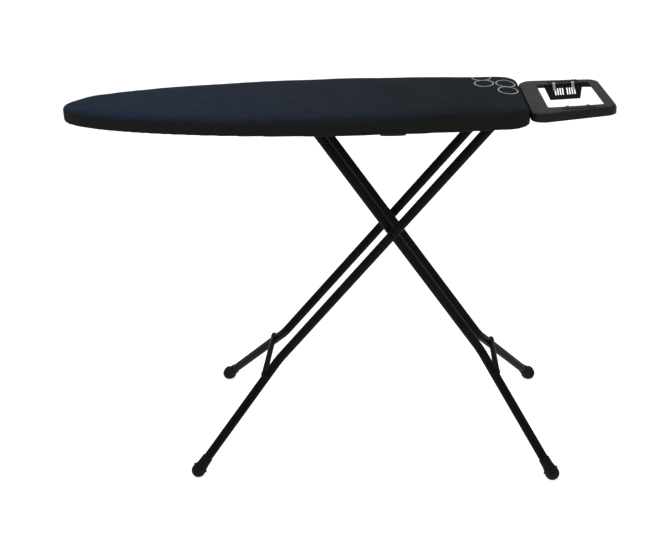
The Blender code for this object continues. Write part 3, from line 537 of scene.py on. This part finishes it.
def zinc_finish(name, stretch, base_value):
    """Zinc-plated steel, brushed one way, with a faint warm and cool passivate film."""
    f = Finish(name, 0.28, metallic=1.0)
    brush = f.noise(scale=1.0, detail=3.0, rough=0.6, place=f.stretched(stretch))
    film = f.noise(scale=55.0, detail=3.0, rough=0.5)
    warm = grey(base_value, 1.03, 0.95)
    cool = grey(base_value * 0.93, 0.97, 1.04)
    base = f.mix(f.span(film, 0.35, 0.65), warm, cool)
    base = f.mix(f.span(brush, 0.3, 0.7, 0.0, 0.35), base, grey(base_value * 0.62))
    spots = f.span(f.noise(scale=480.0, detail=3.0, rough=0.6), 0.68, 0.76, 0.0, 0.5)
    f.colour(f.mix(spots, base, grey(0.16, 1.1, 0.85)))
    f.roughness(f.span(brush, 0.25, 0.75, 0.20, 0.36))
    f.bump(brush, depth=0.00006, strength=0.5)
    return f.material


def make_finishes():
    return {
        "cover": cloth_finish("cover_cotton_printed", True),
        "hem": cloth_finish("cover_cotton_hem", False),
        "felt": felt_finish(),
        "paint": paint_finish("black_powder_coat"),
        "frame": paint_finish("black_frame_paint", 0.0060, 0.35),
        "mesh": paint_finish("deck_mesh_paint", 0.030, 0.7),
        "rest": plastic_finish("rest_moulded_plastic", 0.0085, 1.08, 0.50, 0.64),
        "guard": plastic_finish("guard_moulded_plastic", 0.0026, 1.0, 0.50, 0.62),
        "grip": plastic_finish("grip_moulded_plastic", 0.0110, 1.0, 0.42, 0.55),
        "nylon": plastic_finish("nylon_natural_black", 0.020, 1.0, 0.38, 0.50, 0.00012),
        "rubber": rubber_finish("foot_rubber_compound", 0.0050, 0.66),
        "silicone": rubber_finish("silicone_strip_compound", 0.0080, 0.52),
        "zinc": zinc_finish("zinc_brushed", (90.0, 900.0, 900.0), 0.62),
        "rod": zinc_finish("zinc_drawn_rod", (40.0, 700.0, 700.0), 0.55),
        "thread": cloth_finish("stitching_cotton", False),
    }


FINISH = make_finishes()


# The deck's outline


def side_half_width(x):
    half = COVER_HIGH.y
    run = (x - COVER_LOW.x) / NOSE_LENGTH
    if run < 1:
        return half * (1 - (1 - run) ** NOSE_POWER) ** NOSE_ROUNDING
    return half - END_TAPER * (x - COVER_LOW.x - NOSE_LENGTH) ** 2


def half_outline():
    """One side of the deck, from the nose to the straight edge of the square end."""
    left = COVER_LOW.x
    end = COVER_HIGH.x
    points = []
    for i in range(NOSE_STEPS):
        x = left + NOSE_LENGTH * (1 - math.cos(math.pi / 2 * i / NOSE_STEPS))
        points.append((x, side_half_width(x)))
    lean = math.atan(2 * END_TAPER * (end - END_CORNER - left - NOSE_LENGTH))
    widest_x = NOSE_LENGTH + left
    corner_x = end - END_CORNER * (1 - math.sin(lean))
    for i in range(SIDE_STEPS):
        x = widest_x + (corner_x - widest_x) * i / SIDE_STEPS
        points.append((x, side_half_width(x)))
    centre_y = side_half_width(corner_x) - END_CORNER * math.cos(lean)
    for i in range(CORNER_STEPS + 1):
        turn = (math.pi / 2 - lean) * (1 - i / CORNER_STEPS)
        x = end - END_CORNER + END_CORNER * math.cos(turn)
        points.append((x, centre_y + END_CORNER * math.sin(turn)))
    return points


def inset_loop(loop, inset):
    """The loop moved inwards by an even distance."""
    points = [Vector(point) for point in loop]
    pulled = []
    for i, point in enumerate(points):
        before = (point - points[i - 1]).normalized()
        after = (points[(i + 1) % len(points)] - point).normalized()
        first = Vector((-before.y, before.x))
        second = Vector((-after.y, after.x))
        pulled.append(point + (first + second) / (1 + first.dot(second)) * inset)
    return pulled


def even_loop(step):
    """The outline as an anticlockwise loop of points an even distance apart, from the nose."""
    half = half_outline()
    loop = [(x, -y) for x, y in half] + [(x, y) for x, y in reversed(half[1:])]
    points = np.array(loop + [loop[0]])
    run = np.concatenate([[0], np.cumsum(np.linalg.norm(np.diff(points, axis=0), axis=1))])
    count = int(run[-1] / step)
    places = np.linspace(0, run[-1], count, endpoint=False)
    return [Vector((np.interp(s, run, points[:, 0]), np.interp(s, run, points[:, 1]))) for s in places]


EDGE = even_loop(EDGE_STEP)


def crown(x):
    """How much further in than elsewhere a crowned level is drawn, near the nose."""
    return 1 + NOSE_CROWN * max(0, 1 - (x - COVER_LOW.x) / NOSE_CROWN_LENGTH) ** 2


def deck_ring(inset, z, crowned=False):
    ring = []
    for start, end in zip(EDGE, inset_loop(EDGE, inset)):
        point = start + (end - start) * (crown(start.x) if crowned else 1)
        ring.append(Vector((point.x, point.y, z)))
    return ring


def edge_places(points):
    """For each point: how far it lies inside the outline, and how far round the outline it is."""
    edge = np.array([(p.x, p.y) for p in EDGE])
    flat = points[:, :2]
    inside = np.empty(len(points))
    around = np.empty(len(points))
    for start in range(0, len(points), 2000):
        part = flat[start:start + 2000]
        gaps = np.linalg.norm(part[:, None, :] - edge[None, :, :], axis=2)
        nearest = gaps.argmin(axis=1)
        inside[start:start + 2000] = gaps[np.arange(len(part)), nearest]
        around[start:start + 2000] = nearest * EDGE_STEP
    return inside, around


def object_from_bmesh(name, bm):
    bmesh.ops.recalc_face_normals(bm, faces=bm.faces)
    mesh = bpy.data.meshes.new(name)
    bm.to_mesh(mesh)
    bm.free()
    made = bpy.data.objects.new(name, mesh)
    bpy.context.scene.collection.objects.link(made)
    return made


def bake_modifiers(obj):
    """Turns the object's mesh, as its modifiers leave it, into its own mesh."""
    graph = bpy.context.evaluated_depsgraph_get()
    evaluated = obj.evaluated_get(graph)
    mesh = bpy.data.meshes.new_from_object(evaluated)
    obj.modifiers.clear()
    obj.data = mesh


def coordinates(mesh):
    points = np.empty(len(mesh.vertices) * 3)
    mesh.vertices.foreach_get("co", points)
    return points.reshape(-1, 3)


def simulate_cloth(obj, pressure, cap, pinned_below):
    """Fills the closed cloth form like a taut cover, and limits how far any point moves."""
    before = coordinates(obj.data)
    pins = obj.vertex_groups.new(name="pins")
    held = [int(i) for i in np.nonzero(before[:, 2] < pinned_below)[0]]
    pins.add(held, 1.0, "REPLACE")
    cloth = obj.modifiers.new("cloth", "CLOTH")
    cloth.settings.quality = 4
    cloth.settings.mass = 0.25
    cloth.settings.tension_stiffness = 30
    cloth.settings.compression_stiffness = 30
    cloth.settings.shear_stiffness = 12
    cloth.settings.bending_stiffness = 2.0
    cloth.settings.use_pressure = True
    cloth.settings.uniform_pressure_force = pressure
    cloth.settings.effector_weights.gravity = 0
    cloth.settings.vertex_group_mass = "pins"
    cloth.collision_settings.use_collision = False
    cloth.point_cache.frame_start = 1
    cloth.point_cache.frame_end = CLOTH_FRAMES
    for step in range(1, CLOTH_FRAMES + 1):
        bpy.context.scene.frame_set(step)
    bake_modifiers(obj)
    bpy.context.scene.frame_set(1)
    move = coordinates(obj.data) - before
    size = np.linalg.norm(move, axis=1, keepdims=True)
    after = before + move * (cap / (cap + size))
    obj.data.vertices.foreach_set("co", after.ravel())
    obj.vertex_groups.clear()


def build_cover():
    """The cotton cover: a taut top, soft edge, upright sides and a gathered hem underneath."""
    low = COVER_LOW.z + COVER_LIFT
    top = COVER_HIGH.z
    rings = [deck_ring(inset, low + z) for inset, z in LEVELS_FROM_LOW]
    rings += [deck_ring(inset, top + z, crowned) for inset, z, crowned in LEVELS_FROM_TOP]
    form = object_from_bmesh("cover_cloth_skin", loft(rings))
    remesh = form.modifiers.new("remesh", "REMESH")
    remesh.mode = "VOXEL"
    remesh.voxel_size = COVER_VOXEL
    bake_modifiers(form)
    smooth = form.modifiers.new("smooth", "SMOOTH")
    smooth.iterations = 2
    smooth.factor = 0.4
    bake_modifiers(form)
    simulate_cloth(form, COVER_PRESSURE, COVER_CAP, COVER_LOW.z + PIN_HEIGHT)
    bm = bmesh.new()
    bm.from_mesh(form.data)
    trim_underside(bm)
    bm.to_mesh(form.data)
    bm.free()
    gather(form.data)
    form.data.materials.clear()
    form.data.materials.append(FINISH["cover"])
    form.data.shade_smooth()
    add_subdivision(form, 1)
    cloth = form.modifiers.new("thickness", "SOLIDIFY")
    cloth.thickness = CLOTH_THICKNESS
    cloth.offset = -1
    settle(form, "deck", ("board_cover",))
    return form


def trim_underside(bm):
    """Leaves an opening in the underside, inside the hem."""
    low = COVER_LOW.z + UNDERSIDE_HEIGHT
    points = np.array([vert.co for vert in bm.verts])
    inside, _ = edge_places(points)
    gone = [v for v, depth in zip(bm.verts, inside) if v.co.z < low and depth > HEM_WIDTH]
    bmesh.ops.delete(bm, geom=gone, context="VERTS")


def gather(mesh):
    """Small folds at the hem and up the lower side, where the elastic draws the cloth in."""
    points = coordinates(mesh)
    inside, around = edge_places(points)
    low = COVER_LOW.z
    top = COVER_HIGH.z
    hem = np.clip(inside / HEM_WIDTH, 0, 1) * (points[:, 2] < low + UNDERSIDE_HEIGHT)
    side = np.clip(1 - (points[:, 2] - low) / GATHER_HEIGHT, 0, 1) * (points[:, 2] >= low)
    wander = 0.9 * np.sin(around * 21.0) + 0.6 * np.sin(around * 47.0 + 1.3)
    fold = np.sin(2 * np.pi * around / GATHER_PITCH + wander)
    fine = np.sin(2 * np.pi * around / FINE_GATHER_PITCH + 2.1 * wander)
    points[:, 2] += hem * (HEM_FOLDS[0] * fold + HEM_FOLDS[1] * fine)
    centre = np.array([0.5 * (COVER_LOW.x + COVER_HIGH.x), 0.0])
    outwards = points[:, :2] - centre
    outwards /= np.linalg.norm(outwards, axis=1, keepdims=True)
    depth = side * (1 - hem) * (SIDE_FOLDS[0] * fold + SIDE_FOLDS[1] * fine)
    points[:, :2] += outwards * depth[:, None]
    slack = TOP_WAVE * np.sin(points[:, 0] * 31.0 + 2.0 * np.sin(points[:, 1] * 17.0))
    flat = points[:, 2] > top - TOP_ZONE
    points[:, 2] += slack * flat
    points[:, 2] = np.minimum(points[:, 2], top + COVER_PROUD)
    mesh.vertices.foreach_set("co", points.ravel())


def build_hem():
    """The narrow tunnel that holds the elastic round the opening, drawn up in small gathers."""
    loop = inset_loop(EDGE, HEM_WIDTH + 0.0005)
    z = COVER_LOW.z + HEM_HEIGHT
    path = []
    for i, point in enumerate(loop):
        wave = math.sin(i * HEM_GATHER_TURN) * HEM_WAVE
        path.append(Vector((point.x, point.y, z + wave)))
    rings = []
    for i, point in enumerate(path):
        ahead = path[(i + 1) % len(path)] - path[i - 1]
        across = Vector((-ahead.y, ahead.x, 0)).normalized()
        swell = 1 + 0.22 * math.sin(i * HEM_GATHER_TURN + 0.7) + 0.10 * math.sin(i * 0.9)
        ring = []
        for k in range(HEM_SIDES):
            turn = 2 * math.pi * k / HEM_SIDES
            lift = Vector((0, 0, HEM_HALF_DEPTH * swell * math.sin(turn)))
            ring.append(point + across * (HEM_HALF_WIDTH * math.cos(turn)) + lift)
        rings.append(ring)
    hem = new_piece("cover_hem_tunnel", loft(rings, closed=True), "deck", FINISH["hem"])
    add_subdivision(hem, 1)
    return hem


def build_stitches():
    """A row of lock stitches on the hem, a little in from the fold of the tunnel."""
    line = inset_loop(even_loop(STITCH_PITCH), HEM_WIDTH - STITCH_FROM_HEM)
    z = COVER_LOW.z - 0.0002
    bm = bmesh.new()
    for i, point in enumerate(line):
        ahead = (line[(i + 1) % len(line)] - line[i - 1]).normalized()
        half = Vector((ahead.x, ahead.y, 0)) * STITCH_HALF_LENGTH
        start = Vector((point.x, point.y, z)) - half
        middle = Vector((point.x, point.y, z - STITCH_DIP))
        end = Vector((point.x, point.y, z)) + half
        stitch = loft(sweep_rings([start, middle, end], STITCH_RADIUS, 6))
        mesh = bpy.data.meshes.new("stitch")
        stitch.to_mesh(mesh)
        stitch.free()
        bm.from_mesh(mesh)
        bpy.data.meshes.remove(mesh)
    return new_piece("cover_hem_stitches", bm, "deck", FINISH["thread"])


def build_pad():
    """The felt underlay, a soft-edged slab that shows through the mesh from below."""
    low = PAD_LOW.z
    high = PAD_HIGH.z - PAD_GAP
    edge = [deck_ring(inset, low + z, True) for inset, z in PAD_LEVELS_FROM_LOW]
    edge += [deck_ring(inset, high + z, True) for inset, z in PAD_LEVELS_FROM_TOP]
    under = [towards_middle(edge[0], share) for share in reversed(PAD_SHARES)]
    over = [towards_middle(edge[-1], share) for share in PAD_SHARES]
    bm = loft(under + edge + over)
    for vert in bm.verts:
        vert.co.z += 0.0003 * noise.noise(vert.co * 60.0)
    return new_piece("pad_felt_slab", bm, "deck", FINISH["felt"], ("board_pad",))


def towards_middle(ring, share):
    """The ring drawn in towards the deck's middle line."""
    left = COVER_LOW.x + PAD_END_MARGIN
    right = COVER_HIGH.x - PAD_END_MARGIN
    moved = []
    for point in ring:
        middle = Vector((min(max(point.x, left), right), 0, point.z))
        moved.append(point + (middle - point) * share)
    return moved


def build_mesh_panel():
    """Expanded steel mesh: rows of diamonds in a flat rim."""
    z = (PANEL_LOW.z + PANEL_HIGH.z) / 2
    edge = np.array([(p.x, p.y) for p in EDGE])
    bm = bmesh.new()
    verts = {}

    def corner(i, j):
        if (i, j) not in verts:
            verts[i, j] = bm.verts.new((COVER_LOW.x + i * MESH_PITCH_X / 2, j * MESH_PITCH_Y / 2, z))
        return verts[i, j]

    columns = int((COVER_HIGH.x - COVER_LOW.x) / MESH_PITCH_X * 2) + 1
    rows = int(COVER_HIGH.y / MESH_PITCH_Y * 2) + 1
    for i in range(1, columns):
        for j in range(-rows, rows + 1):
            if (i + j) % 2:
                continue
            x = COVER_LOW.x + i * MESH_PITCH_X / 2
            y = j * MESH_PITCH_Y / 2
            if x > COVER_HIGH.x - MESH_RIM - MESH_PITCH_X / 2 or abs(y) > side_half_width(x) - MESH_RIM:
                continue
            if np.linalg.norm(edge - (x, y), axis=1).min() < MESH_RIM:
                continue
            bm.faces.new((corner(i - 1, j), corner(i, j - 1), corner(i + 1, j), corner(i, j + 1)))
    panel = new_piece("deck_mesh_diamonds", bm, "deck", FINISH["mesh"], ("deck_panel",))
    strands = panel.modifiers.new("strands", "WIREFRAME")
    strands.thickness = STRAND_THICKNESS
    strands.use_even_offset = False
    strands.offset = 0.0
    inner = MESH_RIM + RIM_OVERLAP
    levels = ((RIM_INSET, PANEL_LOW.z), (RIM_INSET, PANEL_HIGH.z))
    levels += ((inner, PANEL_HIGH.z), (inner, PANEL_LOW.z))
    border = loft([deck_ring(inset, z) for inset, z in levels], closed=True)
    rim = new_piece("deck_mesh_rim", border, "deck", FINISH["mesh"])
    add_bevel(rim, width=0.0002, segments=1)


# Legs


def drill(piece, start, end, radius):
    """Bores a round hole through the piece."""
    cutter = object_from_bmesh("drill", loft(sweep_rings([Vector(start), Vector(end)], radius, 32)))
    bore = piece.modifiers.new("bore", "BOOLEAN")
    bore.operation = "DIFFERENCE"
    bore.object = cutter
    bake_modifiers(piece)
    bpy.data.objects.remove(cutter, do_unlink=True)


def sleeve(node, body, finish, radii, edge=TUBE_EDGE):
    """A round tube across the board, as long as its node, with its (outer, bore) radii."""
    low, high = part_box(node)
    middle = (low + high) / 2
    outer, bore = radii
    rings = []
    for y, radius in ((low.y, bore), (low.y, outer), (high.y, outer), (high.y, bore)):
        centre = Vector((middle.x, y, middle.z))
        rings.append(circle(centre, Vector((1, 0, 0)), Vector((0, 0, 1)), radius, TUBE_SIDES))
    piece = new_piece(node + "_shape", loft(rings, closed=True), body, finish, (node,))
    add_bevel(piece, edge)


def leg_line(top, kink_z, foot_x, half_gauges, side):
    """A leg tube's start, kink and foot. The straight part passes through the crossing."""
    top_gauge, kink_gauge = half_gauges
    kink_x = top.x + (CROSS.x - top.x) * (top.z - kink_z) / (top.z - CROSS.z)
    start = Vector((top.x, side * top_gauge, top.z))
    kink = Vector((kink_x, side * kink_gauge, kink_z))
    return start, kink, Vector((foot_x, side * FOOT_HALF_SPREAD, FOOT_Z))


def foot_axis(kink, foot):
    """The outer end of the foot's axis, and the direction up the leg from it."""
    up = (kink - foot).normalized()
    return foot + up * ((FOOT_END_Z - foot.z) / up.z), up


def build_tube(name, line, top_gap, body):
    start, kink, foot = line
    end, up = foot_axis(kink, foot)
    down = (kink - start).normalized()
    path = [start + down * top_gap, start + down * (top_gap + TUBE_FIRST_RUN)]
    path += arc_corner(kink, start, foot, KINK_RADIUS, KINK_STEPS) + [end + up * TUBE_END_IN_FOOT]
    outside = sweep_rings(path, TUBE_RADIUS, TUBE_SIDES)
    inside = sweep_rings(path, TUBE_RADIUS - TUBE_WALL, TUBE_SIDES)
    bm = loft(outside + inside[::-1], closed=True)
    tube = new_piece(name + "_shape", bm, body, FINISH["paint"], (name,))
    near = Vector((CROSS.x, start.y - 2 * TUBE_RADIUS, CROSS.z))
    drill(tube, near, near + Vector((0, 4 * TUBE_RADIUS, 0)), RIVET_BORE)
    add_bevel(tube, TUBE_EDGE)


def foot_profile():
    """The rubber cap's side: dome, lip, grooved sleeve and the bore that the tube goes into."""
    profile = []
    for i in range(1, DOME_STEPS + 1):
        turn = math.radians(DOME_TURN * i / DOME_STEPS)
        profile.append((DOME_MIDDLE - DOME_RADIUS * math.cos(turn), DOME_RADIUS * math.sin(turn)))
    profile += FOOT_LIP
    for t in GROOVES:
        radius = SLEEVE_RADIUS - SLEEVE_TAPER * (t - GROOVES[0]) / (GROOVES[-1] - GROOVES[0])
        profile.append((t, radius))
        profile += [(t + along, radius - GROOVE_DEPTH) for along in GROOVE_FLOOR]
        profile.append((t + GROOVE_WIDTH, radius))
    profile += FOOT_MOUTH
    return profile


def build_foot(name, line, body):
    """A pushed-on rubber cap, cut flat where it meets the floor."""
    _, kink, foot = line
    end, up = foot_axis(kink, foot)
    bm = turned(end, up, foot_profile(), 64)
    geometry = list(bm.verts) + list(bm.edges) + list(bm.faces)
    floor = bmesh.ops.bisect_plane(bm, geom=geometry, plane_no=(0, 0, 1), clear_inner=True)
    cut = [item for item in floor["geom_cut"] if isinstance(item, bmesh.types.BMEdge)]
    bmesh.ops.edgeloop_fill(bm, edges=cut)
    foot_piece = new_piece(name + "_shape", bm, body, FINISH["rubber"], (name,))
    foot_piece.data.set_sharp_from_angle(angle=math.radians(40))


def leg_lines(which):
    """The near and far tubes' lines of one pair of legs."""
    if which == "outer":
        args = (HINGE, OUTER_KINK_Z, OUTER_FOOT_X, OUTER_HALF_GAUGES)
    else:
        args = (BAR, INNER_KINK_Z, INNER_FOOT_X, INNER_HALF_GAUGES)
    return [(word, leg_line(*args, side)) for side, word in ((-1, "near"), (1, "far"))]


def weld_bead(name, centre, axis, radius, body, reach):
    """A rippled weld round a round bar, where it meets a tube: reach gives how far along it sits."""
    axis = Vector(axis).normalized()
    across = axis.orthogonal().normalized()
    up = axis.cross(across)
    path = []
    for i in range(WELD_STEPS):
        turn = 2 * math.pi * i / WELD_STEPS
        spoke = across * math.cos(turn) + up * math.sin(turn)
        foot = centre + spoke * (radius + WELD_GAP)
        path.append(foot + axis * reach(foot))
    turns = np.linspace(0, 2 * math.pi, WELD_SIDES + 1)[:-1]
    rings = []
    for i, point in enumerate(path):
        ahead = (path[(i + 1) % WELD_STEPS] - path[i - 1]).normalized()
        side = ahead.cross(axis).normalized()
        lift = side.cross(ahead)
        size = WELD_SIZE * (1 + 0.16 * math.sin(i * 2.3) + 0.08 * math.sin(i * 5.1))
        rings.append([point + (side * math.cos(a) + lift * math.sin(a)) * size for a in turns])
    bead = new_piece(name, loft(rings, closed=True), body, FINISH["paint"])
    add_subdivision(bead, 1)


def along_to_tube(line, direction):
    """How far along a direction a point must go to meet the splayed part of a leg's tube."""
    _, kink, foot = line
    down = (foot - kink).normalized()

    def reach(point):
        offset = point - kink
        a = direction - down * direction.dot(down)
        b = offset - down * offset.dot(down)
        p = a.dot(a)
        q = 2 * a.dot(b)
        r = b.dot(b) - (TUBE_RADIUS + WELD_GAP) ** 2
        inner = q * q - 4 * p * r
        if inner < 0:
            return -q / (2 * p)
        return (-q - math.sqrt(inner)) / (2 * p)

    return reach


def build_legs():
    for which, gap in (("outer", OUTER_TOP_GAP), ("inner", INNER_TOP_GAP)):
        body = which + "_leg"
        lines = leg_lines(which)
        for word, line in lines:
            build_tube(f"{body}_tube_{word}", line, gap, body)
            build_foot(f"{body}_foot_{word}", line, body)
        low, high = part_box(body + "_brace")
        middle = (low + high) / 2
        half = high.y
        profile = list(BRACE_END) + [(half, BRACE_RADIUS)]
        profile += [(2 * half - t, radius) for t, radius in reversed(BRACE_END)]
        bar = turned((middle.x, -half, middle.z), (0, 1, 0), profile)
        new_piece(body + "_brace_shape", bar, body, FINISH["paint"], (body + "_brace",))
        for side, (word, line) in zip((-1, 1), lines):
            outwards = Vector((0, side, 0))
            base = Vector((middle.x, 0, middle.z))
            reach = along_to_tube(line, outwards)
            weld_bead(f"{body}_brace_weld_{word}", base, outwards, BRACE_RADIUS, body, reach)
    sleeve("outer_leg_hinge_tube", "outer_leg", FINISH["paint"], HINGE_TUBE)
    rounded("inner_leg_slide_bar", "inner_leg", FINISH["paint"], "black_paint")
    for word in ("near", "far"):
        rounded("cross_rivet_" + word, "outer_leg", FINISH["paint"], "black_paint", levels=2, angle=50)
        sleeve("cross_spacer_" + word, "outer_leg", FINISH["nylon"], SPACER)
        sleeve("slide_roller_" + word, "inner_leg", FINISH["nylon"], ROLLER, ROLLER_EDGE)


# Iron rest


def build_rest():
    bevelled("iron_rest_tray", "deck", FINISH["rest"], width=0.0009, segments=3)
    for word in ("near", "far"):
        bevelled("heel_guard_" + word, "deck", FINISH["guard"], width=0.0004)
        bevelled("rest_pad_" + word, "deck", FINISH["silicone"], width=0.0005, segments=3)
        rounded("rest_screw_" + word, "deck", FINISH["zinc"], "bright_steel")
        for hand in ("left", "right"):
            bevelled(f"guard_clip_{word}_{hand}", "deck", FINISH["zinc"], width=0.0003)


def build_deck_metal():
    plain = ["edge_rail_near", "edge_rail_far", "cross_member_nose", "cross_member_mid", "cross_member_hinge"]
    plain += ["cross_member_end", "slide_track_near", "slide_track_far", "hinge_bracket_near"]
    plain += ["hinge_bracket_far", "rod_clip_left", "rod_clip_right", "rest_strap"]
    for node in plain:
        bevelled(node, "deck", FINISH["frame"], width=0.0003)
    rounded("hinge_rod", "deck", FINISH["zinc"], "bright_steel")
    rounded("lever_spring", "deck", FINISH["rod"], "bright_steel")
    rounded("release_rod", "lever", FINISH["rod"], "bright_steel")
    rounded("lever_grip", "lever", FINISH["grip"], "rest_plastic", levels=2, amount=0.55)
    bevelled("lock_pawl", "lever", FINISH["zinc"], width=0.0004)


# Stage


def build_stage():
    bm = bmesh.new()
    bmesh.ops.create_grid(bm, x_segments=1, y_segments=1, size=60.0)
    mesh = bpy.data.meshes.new("studio_floor")
    bm.to_mesh(mesh)
    bm.free()
    floor = bpy.data.objects.new("studio_floor", mesh)
    floor.location = (0, 0, -0.0005)
    bpy.context.scene.collection.objects.link(floor)
    paper = bpy.data.materials.new("studio_paper")
    paper.use_nodes = True
    shader = paper.node_tree.nodes["Principled BSDF"]
    shader.inputs["Base Color"].default_value = (0.86, 0.86, 0.86, 1.0)
    shader.inputs["Roughness"].default_value = 0.95
    shader.inputs["Specular IOR Level"].default_value = 0.0
    shader.inputs["Emission Color"].default_value = (1.0, 1.0, 1.0, 1.0)
    shader.inputs["Emission Strength"].default_value = 0.72
    mesh.materials.append(paper)
    world = bpy.data.worlds.new("studio_world")
    world.use_nodes = True
    sky = world.node_tree.nodes["Background"]
    sky.inputs["Color"].default_value = (0.97, 0.98, 1.0, 1.0)
    sky.inputs["Strength"].default_value = 0.47
    bpy.context.scene.world = world
    for name, place, size, power in LAMPS:
        lamp = bpy.data.lights.new(name, "AREA")
        lamp.shape = "SQUARE"
        lamp.size = size
        lamp.energy = power
        made = bpy.data.objects.new(name, lamp)
        made.location = place
        made.rotation_euler = (LAMP_AIM - Vector(place)).to_track_quat("-Z", "Y").to_euler()
        bpy.context.scene.collection.objects.link(made)


def build_camera():
    camera = bpy.data.cameras.new("camera")
    camera.sensor_width = 36.0
    camera.lens = CAMERA_LENS
    made = bpy.data.objects.new("camera", camera)
    turn = Matrix.Rotation(math.radians(CAMERA_PAN), 4, "Z")
    turn @= Matrix.Rotation(math.radians(90 - CAMERA_TILT), 4, "X")
    turn @= Matrix.Rotation(math.radians(CAMERA_ROLL), 4, "Z")
    made.matrix_world = Matrix.Translation(CAMERA_PLACE) @ turn
    bpy.context.scene.collection.objects.link(made)
    bpy.context.scene.camera = made


build_stage()
build_camera()
bpy.context.scene.view_settings.view_transform = "Standard"

cover = build_cover()
hem = build_hem()
stitches = build_stitches()
pad = build_pad()
build_mesh_panel()
build_deck_metal()
build_legs()
build_rest()
